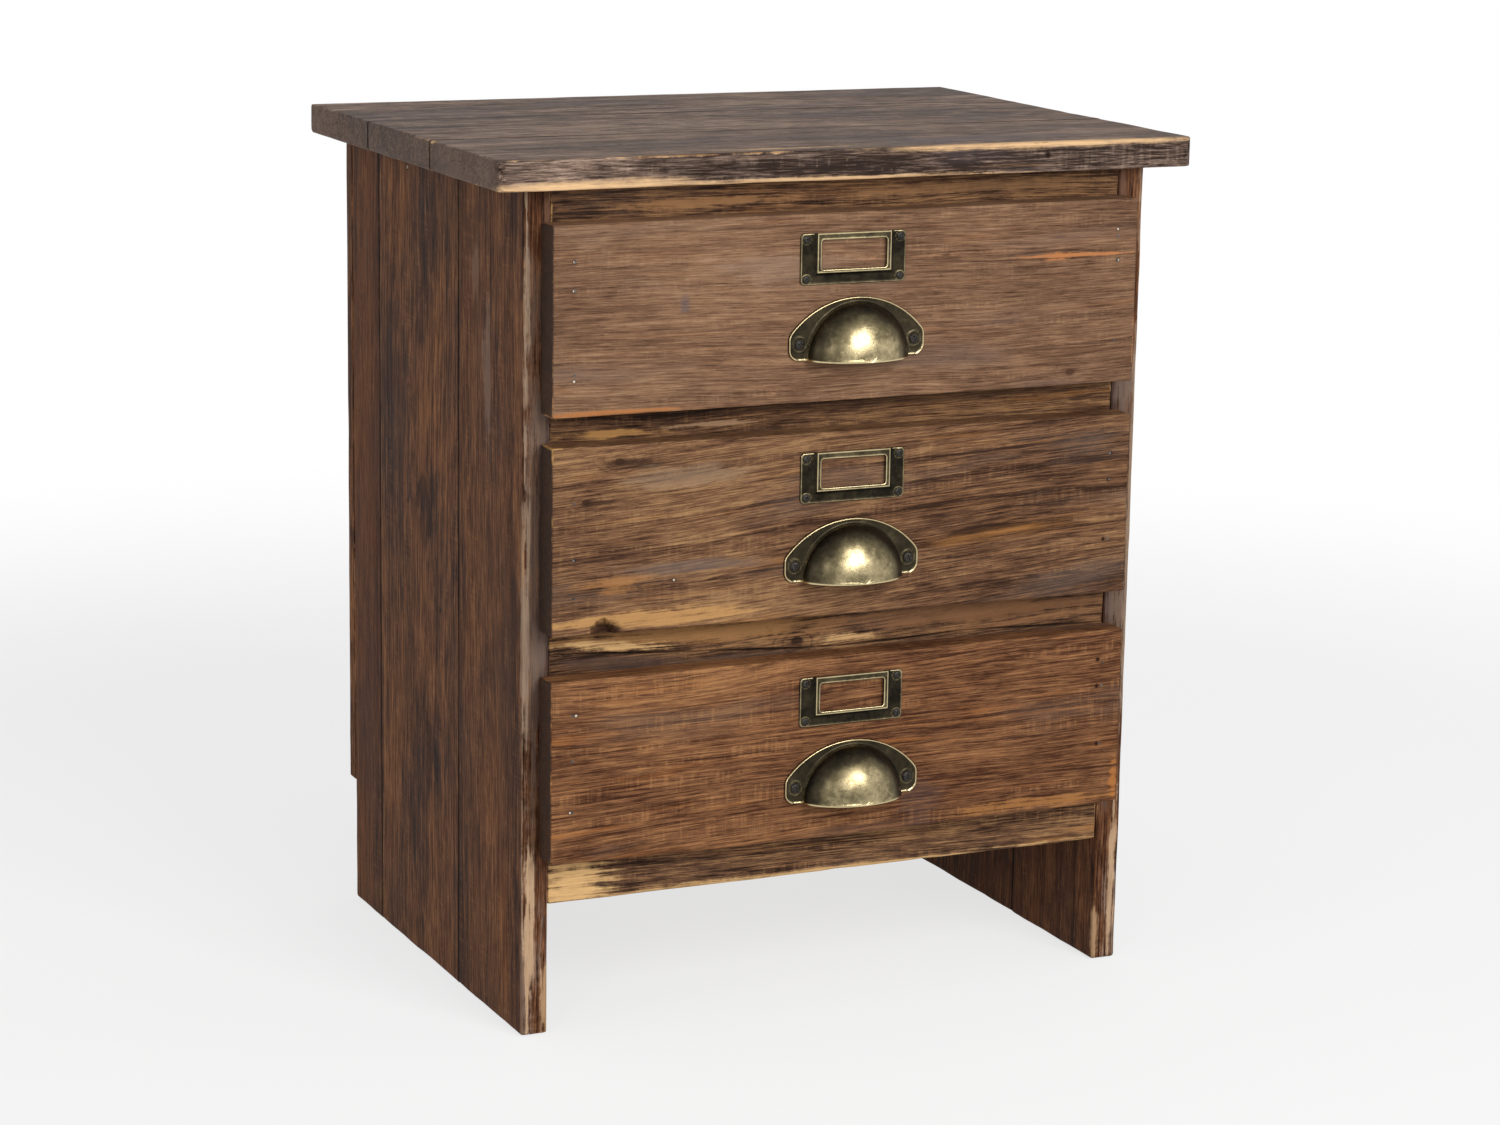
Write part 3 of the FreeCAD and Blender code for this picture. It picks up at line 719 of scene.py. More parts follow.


# Each front's shaded spots are painted shade, most at its right end, and painted light where an amount
# is negative.
drawers = {
    "top_drawer": {
        "lower": (0.3812, 0.3820), "upper": (0.4941, 0.4960), "belly": 0,
        "look": {"stain": "warmFront", "seed": 61.0, "pith": (0.30, 0.25), "contrast": 0.62,
                 "ringDark": 0.2, "warm": 0.4, "lines": 0.35, "knots": ((0.1475, 0.3901, 0.0036),),
                 "shaded": (paintedFrontShading(0.15, 0.44, 0.22, 0.12, 0.15),
                            paintedFrontShading(-0.19, 0.44, 0.03, 0.10, 0.06)),
                 "patches": (frontPatch(0.141, 0.4625, 0.040, 0.0032, 0.8, tone(190, 122, 72), 1.5),
                             frontPatch(0.07, 0.467, 0.06, 0.002, 0.6, tone(180, 134, 100), 1.5),
                             frontPatch(-0.165, 0.383, 0.06, 0.0024, 0.8, tone(176, 114, 66)),
                             frontPatch(-0.05, 0.462, 0.05, 0.012, 0.35, tone(150, 126, 108)),
                             frontPatch(-0.112, 0.444, 0.004, 0.006, 0.5, tone(84, 80, 92))),
                 "marks": nailMarks(0.0009, pale, (-0.182, 0.4727), (-0.1824, 0.4557),
                                    (-0.1819, 0.4027), (0.1779, 0.4774), (0.1787, 0.4582))}},
    "middle_drawer": {
        "lower": (0.2506, 0.2482), "upper": (0.3641, 0.3614), "belly": 0,
        "look": {"stain": "streakedFront", "seed": 67.0, "pith": (0.22, 0.2),
                 "slope": 0.06, "wander": 0.012, "ringDark": 0.8, "lines": 0.7, "contrast": 0.76,
                 "knots": ((-0.1528, 0.3538, 0.0035), (-0.1736, 0.3305, 0.003)),
                 "shaded": (paintedFrontShading(0.15, 0.30, 0.24, 0.12, 0.15),
                            paintedFrontShading(-0.08, 0.275, 0.10, 0.03, -0.06)),
                 "patches": (frontPatch(-0.145, 0.352, 0.026, 0.004, 0.85, tone(50, 34, 26), 1.5),
                             frontPatch(-0.168, 0.330, 0.016, 0.003, 0.8, tone(50, 34, 26), 1.5),
                             frontPatch(-0.110, 0.342, 0.05, 0.008, 0.4, tone(156, 134, 110)),
                             frontPatch(-0.105, 0.287, 0.06, 0.006, 0.5, tone(98, 90, 88)),
                             frontPatch(-0.152, 0.281, 0.03, 0.006, 0.5, tone(178, 124, 72), 1.5),
                             frontPatch(-0.13, 0.2575, 0.07, 0.006, 0.8, tone(192, 146, 92), 1.2),
                             # painted shade in the knot hollow
                             frontPatch(-0.1595, 0.2510, 0.012, 0.009, 1.0, tone(40, 24, 16), 0.6)),
                 "marks": nailMarks(0.0009, black, (-0.1812, 0.2963), (0.1786, 0.3373),
                                    (0.1777, 0.3206), (0.1753, 0.2828))
                 + nailMarks(0.0008, pale, (-0.1171, 0.2798))}},
    "bottom_drawer": {
        "lower": (0.1116, 0.1115), "upper": (0.2236, 0.2241), "belly": 0.0018,
        "look": {"stain": "redFront", "seed": 73.0, "pith": (0.36, 0.12), "slope": 0.03,
                 "saw": 0.9, "ringDark": 0.5, "ringGap": 0.0034, "contrast": 0.85, "lines": 0.6,
                 "shaded": (paintedFrontShading(0.15, 0.17, 0.24, 0.12, 0.19),
                            paintedFrontShading(-0.12, 0.20, 0.12, 0.04, -0.06)),
                 "patches": (frontPatch(0.14, 0.1165, 0.07, 0.004, 0.7, tone(168, 116, 66), 1.5),
                             frontPatch(0.189, 0.125, 0.004, 0.014, 0.7, tone(184, 118, 60), 1.2),
                             frontPatch(0.05, 0.125, 0.02, 0.022, 0.4, tone(66, 58, 60))),
                 "marks": nailMarks(0.0009, pale, (-0.1793, 0.2023), (-0.1828, 0.1431))
                 + nailMarks(0.0010, black, (0.1746, 0.2054), (0.1745, 0.1882),
                             (0.1758, 0.1504))}},
}
knot = {"x": -0.1625, "z": 0.2514, "radius": 0.0085, "depth": 0.006}


def frontShape(name, drawer):
    low, high = nodeCorners(name + "_front")

    def level(x, ends, sag):
        share = (x - low.x) / (high.x - low.x)
        return ends[0] + (ends[1] - ends[0]) * share - sag * 4 * share * (1 - share)

    def reshape(moved, spot):
        share = (moved.z - low.z) / (high.z - low.z)
        lower = level(moved.x, drawer["lower"], drawer["belly"])
        upper = level(moved.x, drawer["upper"], 0)
        moved.z = lower + (upper - lower) * share
        if name == "middle_drawer":
            far = math.hypot(moved.x - knot["x"], moved.z - knot["z"]) / knot["radius"]
            far += 0.25 * noise.noise(Vector((moved.x * 300, moved.z * 300, 2)))
            depth = knot["depth"] * min(1, max(0, (1 - far) * 2.2))
            if spot.y < low.y + 0.0075:
                moved.y = max(moved.y, low.y + depth)
        return moved

    shape = {"reshape": reshape, "ease": 0.0013, "step": 0.010}
    if name == "middle_drawer":
        shape["extra"] = {0: [knot["x"] + step * 0.001 for step in range(-9, 10)],
                          1: [low.y + 0.0062, low.y + 0.0075],
                          2: [low.z + step * 0.001 for step in range(5, 14)]}
    return shape


for name, drawer in drawers.items():
    # The dark colour at each front's end faces is end grain and painted shade.
    look = {"grain": "xzy", "wear": 0.0026, "wearStrength": 0.6,
            "ends": (("x", 0.85, tone(52, 42, 38)),), **drawer["look"]}
    addBoard(name + "_front", name, look, frontShape(name, drawer))
print("drawer fronts ready")


# The back: three upright boards, nailed to the rear edges of the sides
nailLow, nailHigh = nodeCorners("back_nails")
nailRadius = 0.0008
nailRows = 4
nailStep = (nailHigh.z - nailLow.z - 2 * nailRadius) / (nailRows - 1)
backSeams = (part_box("back_board_left")[1][0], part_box("back_board_right")[0][0])
backBoards = {
    "left": {"look": {"seed": 83.0, "pith": (-0.25, 0.40), "seams": (("x", backSeams[0]),)},
             "eased": {(0, 1): 0.001}},
    "middle": {"look": {"seed": 87.5, "pith": (0.02, 0.45), "slope": 0.015, "warm": 0.8,
                        "seams": (("x", backSeams[0]), ("x", backSeams[1])), "marks": ()},
               "eased": {(0, 0): 0.001, (0, 1): 0.001}},
    "right": {"look": {"seed": 91.2, "pith": (0.22, 0.42), "slope": -0.01,
                       "seams": (("x", backSeams[1]),)},
              "eased": {(0, 0): 0.001}},
}
backMarks = tuple((nailLow.z + nailRadius + row * nailStep, x, nailHigh.y, 0.0011, tone(60, 44, 36))
                  for row in range(nailRows)
                  for x in (nailLow.x + nailRadius, nailHigh.x - nailRadius))
for strip, board in backBoards.items():
    look = {"stain": "side", "grain": "zxy", "wear": 0.003, "scuff": 0.5, "saw": 0.9,
            "marks": backMarks, **board["look"]}
    addBoard("back_board_" + strip, "carcass", look,
             {"eased": board["eased"], "ease": 0.0015})
print("back boards ready")


# Hidden and inner boards keep their CAD shape and get plain wood.
def dressNode(node, material):
    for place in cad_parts[node].material_slots:
        place.material = material


innerLook = {"stain": "inner", "wear": 0.001, "ringDark": 0.8, "cold": 0.2, "warm": 0.4}
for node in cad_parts:
    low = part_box(node)[0]
    if node.endswith(("_left_side", "_right_side")) or "_runner_" in node or "top_cleat" in node:
        look = {"grain": "yzx", "seed": 90 + low[2] * 40 + low[0] * 9,
                "pith": (low[2] + 0.02, low[0] + 0.06)}
    elif node.endswith("drawer_back"):
        look = {"grain": "xzy", "seed": 95 + low[2] * 40, "pith": (low[2] + 0.02, low[1] + 0.06)}
    elif node.endswith("drawer_bottom"):
        look = {"grain": "xyz", "seed": 99 + low[2] * 40, "pith": (0.03, low[2] + 0.30)}
    else:
        continue
    dressNode(node, woodMaterial(node + "Wood", {**innerLook, **look}, nodeFaces(node)))
print("inner boards ready")


# A pressed sheet: spots in its plan joined by quads, lifted to a front and a back
# height, and closed round its edges. The share of polish and painted sheen at each spot goes to the
# finish.
def pressedSheet(name, spots, quads, front, back, worn):
    count = len(spots)
    points = [(u, -front(u, v), v) for u, v in spots] + [(u, -back(u, v), v) for u, v in spots]
    faces = list(quads) + [[count + index for index in reversed(quad)] for quad in quads]
    once = {}
    for quad in quads:
        for first, second in zip(quad, quad[1:] + quad[:1]):
            if (second, first) in once:
                del once[second, first]
            else:
                once[first, second] = True
    faces += [[second, first, count + first, count + second] for first, second in once]
    mesh = bpy.data.meshes.new(name)
    mesh.from_pydata(points, [], faces)
    mesh.polygons.foreach_set("use_smooth", [True] * len(faces))
    shares = [worn(u, v) for u, v in spots]
    mesh.attributes.new("worn", "FLOAT", "POINT").data.foreach_set("value", shares + [0.0] * count)
    mesh.set_sharp_from_angle(angle=math.radians(50))
    return mesh


def ramp(value, low, high):
    share = min(1, max(0, (value - low) / (high - low)))
    return share * share * (3 - 2 * share)


def ridge(value, middle, half):
    return max(0, 1 - ((value - middle) / half) ** 2)


# Aged brass: dark olive in the hollows, polished where hands and cloths reach.
# On the pull's dome the colour also holds a painted reflection, bright at the crest and dark towards
# the foot.
brass = {
    "stops": ((0.0, (0.013, 0.011, 0.008)), (0.3, (0.046, 0.037, 0.022)),
              (0.62, (0.15, 0.122, 0.066)), (1.0, (0.60, 0.49, 0.28))),
    "specks": (0.045, 0.032, 0.018),
    "rough": 0.40,
    "polish": 0.17,
}


def brassMaterial(name, seed):
    shade = Shade(bpy.data.materials.new(name))
    axes = shade.split(shade.place())
    broad = shade.speckle(axes, (60, 60, 60), seed, 4, 0.6)
    mottle = shade.speckle(axes, (320, 320, 320), -seed, 4, 0.7)
    fine = shade.speckle(axes, (1400, 1400, 1400), seed, 3, 0.7)
    brushed = shade.speckle(axes, (180, 2400, 2400), seed, 2, 0.6)
    worn = shade.node("ShaderNodeAttribute", {"attribute_name": "worn"}).out("Fac")
    bright = worn * 1.15 + (broad - 0.5) * 0.8 + (mottle - 0.5) * 0.45
    colour = shade.ramp(bright, brass["stops"])
    colour = shade.mix(fine.rise(0.6, 0.75) * 0.35, colour, brass["specks"])
    rough = brass["rough"] - bright.rise(0, 1) * brass["polish"]
    rough = rough + (mottle - 0.5) * 0.20 + (brushed - 0.5) * 0.12
    height = mottle * 0.5 + fine * 0.3 + brushed * 0.3
    return shade.finish(colour, rough, shade.bump(height, 0.35, 0.0002), Metallic=1.0)


# Blackened or plain steel with a little rust in it: dark, light, rust.
steels = {
    "screw": ((0.010, 0.009, 0.008), (0.06, 0.054, 0.047), (0.05, 0.028, 0.016)),
    "nail": ((0.03, 0.026, 0.023), (0.16, 0.145, 0.13), (0.09, 0.04, 0.02)),
    "hiddenScrew": ((0.02, 0.018, 0.016), (0.09, 0.085, 0.08), (0.05, 0.03, 0.02)),
}


def steelMaterial(name, steel, seed):
    dark, light, rust = steels[steel]
    shade = Shade(bpy.data.materials.new(name))
    axes = shade.split(shade.place())
    grit = shade.speckle(axes, (900, 900, 900), seed, 4, 0.7)
    patch = shade.speckle(axes, (260, 260, 260), -seed, 3, 0.6)
    colour = shade.mix(grit.rise(0.35, 0.65), dark, light)
    colour = shade.mix(patch.rise(0.55, 0.7) * 0.6, colour, rust)
    rough = 0.45 + (grit - 0.5) * 0.4 + patch.rise(0.5, 0.7) * 0.2
    return shade.finish(colour, rough, shade.bump(grit, 0.4, 0.0002), Metallic=0.75)


# The cup pull. Its plan starts at the middle of its lower edge, in millimetres.
pull = {
    "rise": 37.0, "halfWidth": 45.0, "crown": 57.0, "lobe": 8.0, "foot": 6.5,
    "dome": 33.7, "reach": 21.8, "fillet": 1.5, "sheet": 1.2, "screw": (38.0, 9.8),
    "rim": (0.5, 0.6, 0.62),  # how high it is, how far in, and half its width
    "edgeRound": 0.35,
    "seatRing": (0.38, 4.5, 0.75),
    "seatDish": 0.2,
}


def pullInside(u, v):
    u = abs(u)
    crownAt = pull["rise"] - pull["crown"]
    lobeU = pull["halfWidth"] - pull["lobe"]
    lobeV = crownAt + math.sqrt((pull["crown"] - pull["lobe"]) ** 2 - lobeU ** 2)
    footAt = pull["halfWidth"] - pull["foot"]
    if u > footAt and v < pull["foot"]:
        return math.hypot(u - footAt, v - pull["foot"]) <= pull["foot"]
    if u > lobeU and v > lobeV and (v - lobeV) * lobeU < (u - lobeU) * (lobeV - crownAt):
        return math.hypot(u - lobeU, v - lobeV) <= pull["lobe"]
    return u <= pull["halfWidth"] and math.hypot(u, v - crownAt) <= pull["crown"]


def pullOutline(angle):
    low, high = 30.0, 60.0
    for step in range(30):
        middle = (low + high) / 2
        if pullInside(middle * math.cos(angle), middle * math.sin(angle)):
            low = middle
        else:
            high = middle
    return low


def pullMesh():
    rimHigh, rimAt, rimWide = pull["rim"]
    ringHigh, ringAt, ringWide = pull["seatRing"]
    degrees = [step * 0.5 for step in range(64)] + [32 + step * 2 for step in range(58)]
    angles = [math.radians(value) for value in degrees + [148 + step * 0.5 for step in range(65)]]
    foot = math.asin((pull["fillet"] + pull["sheet"]) / pull["reach"])
    footRadius = pull["dome"] * math.cos(foot)
    domeRings = [math.radians(90) + (foot - math.radians(90)) * step / 22 for step in range(23)]
    profile = [(pull["dome"] * math.cos(turn), pull["reach"] * math.sin(turn))
               for turn in domeRings]
    for step in range(1, 6):
        turn = math.radians(90) * step / 5
        profile.append((footRadius + pull["fillet"] * (1 - math.cos(turn)),
                        pull["sheet"] + pull["fillet"] * (1 - math.sin(turn))))
    edgeGaps = [1.5, 1.2, 0.95, 0.75, 0.55, 0.38, 0.22, 0.1, 0.0]
    outline = [(pullOutline(angle) * math.cos(angle), pullOutline(angle) * math.sin(angle))
               for angle in angles]
    flat = profile[-1][0]
    outline += [(side * (flat + step * 0.4), 0.0) for side in (-1, 1) for step in range(10)]
    spots = [(0.0, 0.0)]
    for index, angle in enumerate(angles):
        limit = pullOutline(angle)
        radii = [radius for radius, height in profile[1:]]
        between = limit - edgeGaps[0] - flat
        radii += [flat + between * step / 8 for step in range(1, 8)]
        radii += [limit - gap for gap in edgeGaps]
        for radius in radii:
            spots.append((radius * math.cos(angle), radius * math.sin(angle)))
    rings = len(radii)
    quads = []
    for index in range(len(angles) - 1):
        start = 1 + index * rings
        quads.append([0, start, start + rings])
        for ring in range(rings - 1):
            quads.append([start + ring, start + ring + 1,
                          start + rings + ring + 1, start + rings + ring])

    def domeHeight(radius):
        for (near, high), (far, low) in zip(profile, profile[1:]):
            if radius <= far + 1e-9:
                return high + (low - high) * (radius - near) / max(1e-9, far - near)
        return pull["sheet"]

    def edgeGap(u, v):
        return min(math.hypot(u - atU, v - atV) for atU, atV in outline)

    def seatGap(u, v):
        return math.hypot(abs(u) - pull["screw"][0], v - pull["screw"][1])

    def front(u, v):
        radius = math.hypot(u, v)
        height = domeHeight(radius)
        if radius > flat - 0.6:
            gap = edgeGap(u, v)
            height += rimHigh * ridge(gap, rimAt, rimWide)
            height -= pull["edgeRound"] * ramp(gap, 0.3, 0.0)
            seat = seatGap(u, v)
            height += ringHigh * ridge(seat, ringAt, ringWide) + pull["seatDish"] * ramp(seat, 4.2, 3.6)
        if radius < pull["dome"]:
            height -= 0.35 * ramp(v, 1.1, 1.6) * ramp(radius, pull["dome"], 30)
        return height

    def back(u, v):
        radius = math.hypot(u, v) / (pull["dome"] - pull["sheet"])
        return (pull["reach"] - pull["sheet"]) * math.sqrt(max(0, 1 - radius ** 2))

    def worn(u, v):
        radius = math.hypot(u, v)
        if radius > flat - 0.6:
            seat = 0.4 * ridge(seatGap(u, v), ringAt, 0.8)
            return max(1.1 * ridge(edgeGap(u, v), 0.55, 0.75), seat, 0.2)
        lip = ramp(v, 1.3, 0.6)
        # painted reflection: the dome's colour is bright at its crest and dark towards its foot
        crest = ramp(domeHeight(radius), 9, 20)
        footLine = ridge(domeHeight(radius), 2.6, 0.8)
        return max(lip * 0.95, 0.12 + 0.54 * crest, 0.8 * footLine)

    mesh = pressedSheet("pull", spots, quads, front, back, worn)
    mesh.transform(Matrix.Scale(0.001, 4))
    return mesh


# The label holder: its plan starts at its middle, in millimetres.
holder = {
    "plate": (34.75, 15.5), "corner": 2.6, "sheet": 1.0, "frame": (24.5, -8.3), "slope": 1.5,
    "raised": 2.45, "window": (21.65, 8.85), "windowAt": 2.55, "windowRound": 1.6,
    "slotDepth": 1.4, "slotSide": 1.2, "screw": (31.0, 11.9),
}


# How far a place is outside a rounded rectangle, negative inside it.
def roundedGap(u, v, halfWide, halfHigh, radius):
    beyondU = abs(u) - halfWide + radius
    beyondV = abs(v) - halfHigh + radius
    outside = math.hypot(max(beyondU, 0), max(beyondV, 0))
    return outside + min(max(beyondU, beyondV), 0) - radius


def holderMesh():
    halfWide, halfHigh = holder["plate"]
    windowWide, windowHigh = holder["window"]
    windowAt = holder["windowAt"]
    frameWide, frameLow = holder["frame"]

    def plateGap(u, v):
        return roundedGap(u, v, halfWide, halfHigh, holder["corner"])

    def windowGap(u, v):
        return roundedGap(u, v - windowAt, windowWide, windowHigh, holder["windowRound"])

    def seatGap(u, v):
        return math.hypot(abs(u) - holder["screw"][0], abs(v) - holder["screw"][1])

    def spread(stops):
        lines = []
        for low, high in zip(stops, stops[1:]):
            count = max(1, math.ceil((high - low) / (0.3 if high - low < 2.3 else 0.9)))
            lines += [low + (high - low) * step / count for step in range(count)]
        return lines + [stops[-1]]

    right = [windowWide - 1.6, windowWide, windowWide + 1.2, frameWide - 1.2,
             frameWide, frameWide + holder["slope"], halfWide - 2.6, halfWide - 1, halfWide]
    columns = spread([-stop for stop in reversed(right)] + right)
    low = windowAt - windowHigh
    high = windowAt + windowHigh
    rows = spread([-halfHigh, -halfHigh + 1, -halfHigh + 2.6, frameLow - holder["slope"],
                   frameLow, frameLow + 1.0, low, low + 1.6, high - 1.6, high,
                   high + 1.2, halfHigh - 1, halfHigh])
    spots = {}
    quads = []
    for column in range(len(columns) - 1):
        for row in range(len(rows) - 1):
            u = (columns[column] + columns[column + 1]) / 2
            v = (rows[row] + rows[row + 1]) / 2
            if plateGap(u, v) < 0 < windowGap(u, v):
                quad = [(column, row), (column + 1, row), (column + 1, row + 1), (column, row + 1)]
                quads.append([spots.setdefault(key, len(spots)) for key in quad])
    placed = []
    for column, row in spots:
        u, v = columns[column], rows[row]
        for gap in (plateGap, windowGap):
            near = gap(u, v)
            outer = gap is plateGap
            if (near > -0.02) if outer else (near < 0.02):
                slopeU = (gap(u + 0.01, v) - gap(u - 0.01, v)) / 0.02
                slopeV = (gap(u, v + 0.01) - gap(u, v - 0.01)) / 0.02
                u, v = u - near * slopeU, v - near * slopeV
        placed.append((u, v))

    def inFrame(u, v):
        return min(frameWide + holder["slope"] - abs(u), v - frameLow + holder["slope"])

    def front(u, v):
        inner = inFrame(u, v)
        height = holder["sheet"] + (holder["raised"] - holder["sheet"]) * ramp(
            inner, -0.2, holder["slope"] + 0.1)
        height += 0.15 * ridge(inner, 2.1, 0.5) + 0.15 * ridge(windowGap(u, v), 0.55, 0.5)
        edge = -plateGap(u, v)
        height += 0.15 * ridge(edge, 0.8, 0.6) * ramp(inner, 0, -0.4)
        height -= 0.35 * ramp(edge, 0.35, 0.0) * ramp(inner, 0.4, -0.4)
        height -= 0.25 * ramp(windowGap(u, v), 0.3, 0.0)
        return height + 0.2 * ramp(seatGap(u, v), 3.0, 2.4)

    def back(u, v):
        inSlot = min(windowWide + holder["slotSide"] - abs(u), v - low + holder["slotSide"])
        return holder["slotDepth"] * ramp(inSlot, -0.15, 0.15)

    def worn(u, v):
        inner = inFrame(u, v)
        rim = ridge(inner, 1.95, 0.5)
        sill = ridge(windowGap(u, v), 0.4, 0.45)
        plateRim = ridge(-plateGap(u, v), 0.5, 0.55)
        plateRim *= max(0.7 * ramp(inner, 0.2, -0.2), ramp(inner, 1.5, 1.9))
        seat = 0.55 * ridge(seatGap(u, v), 3.0, 0.5)
        face = 0.32 * ramp(inner, 1.3, 1.7)
        return max(rim, sill, plateRim, seat, face, 0.08)

    mesh = pressedSheet("holder", placed, quads, front, back, worn)
    mesh.transform(Matrix.Scale(0.001, 4))
    return mesh


# Crossed screw heads, each turned its own way. Sizes are in millimetres.
def screwMesh(name, places, head):
    radius, crown, wide, long, deep = (
        head[key] for key in ("radius", "crown", "wide", "long", "deep"))
    points = []
    faces = []
    segments = 64
    rings = [radius * share for share in
             [0.04 * step for step in range(1, 20)] + [0.8, 0.85, 0.9, 0.94, 0.97, 0.99, 1.0]]
    for number, (x, y, z) in enumerate(places):
        twist = math.pi * noise.noise(Vector((number * 3.3, x * 0.11, z * 0.07)))
        base = len(points)
        points.append((x, y - crown + deep, z))
        for ring in rings:
            for segment in range(segments):
                angle = 2 * math.pi * segment / segments
                u, v = ring * math.cos(angle), ring * math.sin(angle)
                height = crown * math.sqrt(max(0, 1 - 0.99 * (ring / radius) ** 2))
                cut = max(ramp(abs(side), wide, wide * 0.6) * ramp(abs(run), long, long * 0.85)
                          for side, run in ((v, u), (u, v)))
                fall = deep * cut * (1 - 0.45 * ring / radius)
                across = u * math.cos(twist) - v * math.sin(twist)
                up = u * math.sin(twist) + v * math.cos(twist)
                points.append((x + across, y - height + fall, z + up))
        for segment in range(segments):
            angle = 2 * math.pi * segment / segments + twist
            points.append((x + radius * math.cos(angle), y + 0.8, z + radius * math.sin(angle)))
        for segment in range(segments):
            following = (segment + 1) % segments
            faces.append([base, base + 1 + segment, base + 1 + following])
            for ring in range(len(rings)):
                start = base + 1 + ring * segments
                faces.append([start + segment, start + segments + segment,
                              start + segments + following, start + following])
    mesh = bpy.data.meshes.new(name)
    mesh.from_pydata([(x * 0.001, y * 0.001, z * 0.001) for x, y, z in points], [], faces)
    mesh.polygons.foreach_set("use_smooth", [True] * len(faces))
    return mesh


pullShape = pullMesh()
holderShape = holderMesh()
pullScrew = {"radius": 3.1, "crown": 1.5, "wide": 0.62, "long": 2.0, "deep": 1.1}
labelScrew = {"radius": 2.3, "crown": 1.0, "wide": 0.48, "long": 1.5, "deep": 0.8}
screwLift = 0.2
for order, name in enumerate(drawers):
    low, high = (corner * 1000 for corner in nodeCorners(name + "_cup_pull"))
    middle = (low.x + high.x) / 2
    face = high.y
    addPiece(name + "_pressed_pull", pullShape.copy(), name, [name + "_cup_pull"],
             brassMaterial(name + "PullBrass", 5 + order * 9.7),
             (middle / 1000, face / 1000, low.z / 1000))
    spots = [(middle + side * pull["screw"][0], face - pull["sheet"] - screwLift,
              low.z + pull["screw"][1]) for side in (-1, 1)]
    blackSteel = steelMaterial(name + "ScrewSteel", "screw", order * 4.1)
    addPiece(name + "_pull_screw_heads", screwMesh("pullScrews", spots, pullScrew),
             name, [name + "_pull_screws"], blackSteel)

    low, high = (corner * 1000 for corner in nodeCorners(name + "_label_holder"))
    centre = (low + high) / 2
    addPiece(name + "_pressed_holder", holderShape.copy(), name, [name + "_label_holder"],
             brassMaterial(name + "HolderBrass", 31 + order * 8.3),
             (centre.x / 1000, high.y / 1000, centre.z / 1000))
    spots = [(centre.x + side * holder["screw"][0], high.y - holder["sheet"] - screwLift,
              centre.z + end * holder["screw"][1]) for side in (-1, 1) for end in (-1, 1)]
    addPiece(name + "_label_screw_heads", screwMesh("labelScrews", spots, labelScrew),
             name, [name + "_label_screws"], blackSteel)
print("brass and screws ready")


nailSteel = steelMaterial("nailSteel", "nail", 3.0)
hiddenScrew = steelMaterial("hiddenScrewSteel", "hiddenScrew", 7.0)
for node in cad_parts:
    if node.endswith("nails"):
        dressNode(node, nailSteel)
    elif node in ("runner_screws", "cleat_screws"):
        dressNode(node, hiddenScrew)
print("nails ready")


# The view of the photograph, in metres and degrees
camera = {
    "place": (-1.010368, -2.191108, 0.780330),
    "turn": 24.877,
    "dip": 12.424,
    "roll": 0.934,
    "lens": 92.01,
    "sensor": 36,
    "farthest": 50,
}


def makeCamera():
    turn, dip, roll = (math.radians(camera[key]) for key in ("turn", "dip", "roll"))
    forward = Vector((math.sin(turn) * math.cos(dip), math.cos(turn) * math.cos(dip),
                      -math.sin(dip)))
    right = Vector((math.cos(turn), -math.sin(turn), 0))
    up = right.cross(forward)
    sideways = math.cos(roll) * right + math.sin(roll) * up
    upward = math.cos(roll) * up - math.sin(roll) * right
    data = bpy.data.cameras.new("photoCamera")
    data.lens = camera["lens"]
    data.sensor_width = camera["sensor"]
    data.clip_end = camera["farthest"]
    item = bpy.data.objects.new("photoCamera", data)
    axes = Matrix((sideways, upward, -forward)).transposed()
    item.matrix_world = Matrix.Translation(camera["place"]) @ axes.to_4x4()
    bpy.context.scene.collection.objects.link(item)
    bpy.context.scene.camera = item


makeCamera()

studio = {
    "world": 0.42,
    "floorColours": ((0.88, 0.88, 0.88), (0.9, 0.9, 0.9)),
    "floorReach": 6.0,
    "lift": 0.72,
    "shadowReach": (0.75, 1.7),
    "softbox": {"place": (0.55, -2.70, 1.62), "size": 1.5, "power": 58},
    "nearStrip": {"place": (-2.00, -2.20, 1.15), "size": 0.45, "power": 9},
    "farStrip": {"place": (-2.80, -0.85, 0.85), "size": 0.45, "power": 6},
}


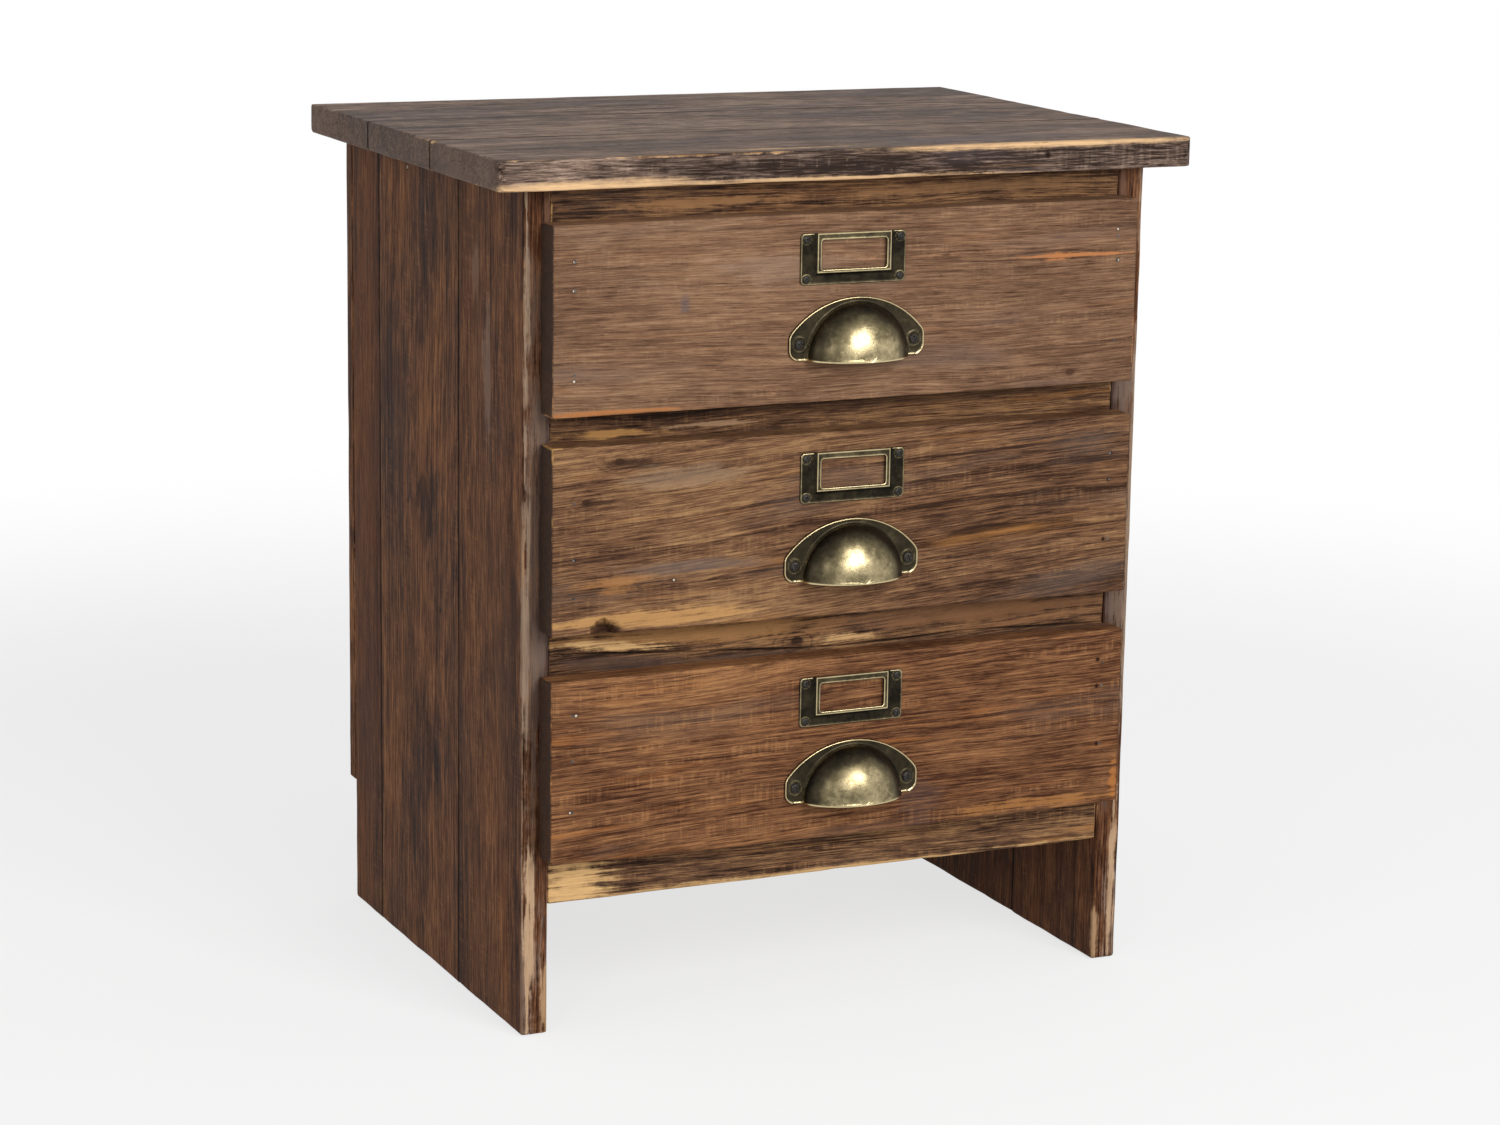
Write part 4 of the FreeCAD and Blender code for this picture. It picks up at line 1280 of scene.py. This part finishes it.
def areaLamp(name, settings, target):
    data = bpy.data.lights.new(name, "AREA")
    data.energy = settings["power"]
    data.size = settings["size"]
    lamp = bpy.data.objects.new(name, data)
    lamp.location = settings["place"]
    aim = Vector(target) - lamp.location
    lamp.rotation_euler = aim.to_track_quat("-Z", "Y").to_euler()
    bpy.context.scene.collection.objects.link(lamp)


# A pale floor that keeps the shadow near the piece and goes over into the white
# background further out.
def floorMaterial():
    shade = Shade(bpy.data.materials.new("paleFloor"))
    x, y, z = shade.split(shade.place())
    far = (x * x + y * y).power(0.5).rise(*studio["shadowReach"])
    colour = shade.mix(shade.noise(shade.join(x, y, z), 40), *studio["floorColours"])
    matt = shade.node("ShaderNodeBsdfPrincipled", {}, {
        "Base Color": colour, "Roughness": 0.9, "Specular IOR Level": 0.1}).out(0)
    white = shade.node("ShaderNodeEmission", {}, {"Color": (1, 1, 1), "Strength": 1.0}).out(0)
    share = shade.seen() * (far * (1 - studio["lift"]) + studio["lift"])
    return shade.close(shade.node("ShaderNodeMixShader", {}, [share, matt, white]).out(0))


def makeFloor():
    reach = studio["floorReach"]
    mesh = bpy.data.meshes.new("floor")
    mesh.from_pydata([(-reach, -reach, 0), (reach, -reach, 0), (reach, reach, 0),
                      (-reach, reach, 0)], [], [(0, 1, 2, 3)])
    mesh.materials.append(floorMaterial())
    floor = bpy.data.objects.new("floor", mesh)
    floor.location.z = -0.0005
    bpy.context.scene.collection.objects.link(floor)


# An even light from all round, which the camera sees as white
def makeWorld():
    world = bpy.data.worlds.new("studio")
    bpy.context.scene.world = world
    shade = Shade(world, "ShaderNodeOutputWorld")
    level = shade.node("ShaderNodeMapRange", {}, {
        "Value": shade.seen(), "To Min": studio["world"], "To Max": 1.0}).out(0)
    shade.close(shade.node("ShaderNodeBackground", {}, {
        "Color": (1, 1, 1), "Strength": level}).out(0))


makeWorld()
makeFloor()
for lamp in ("softbox", "nearStrip", "farStrip"):
    areaLamp(lamp, studio[lamp], (0, 0, 0.3))
bpy.context.scene.view_settings.view_transform = "Standard"
print("studio ready")
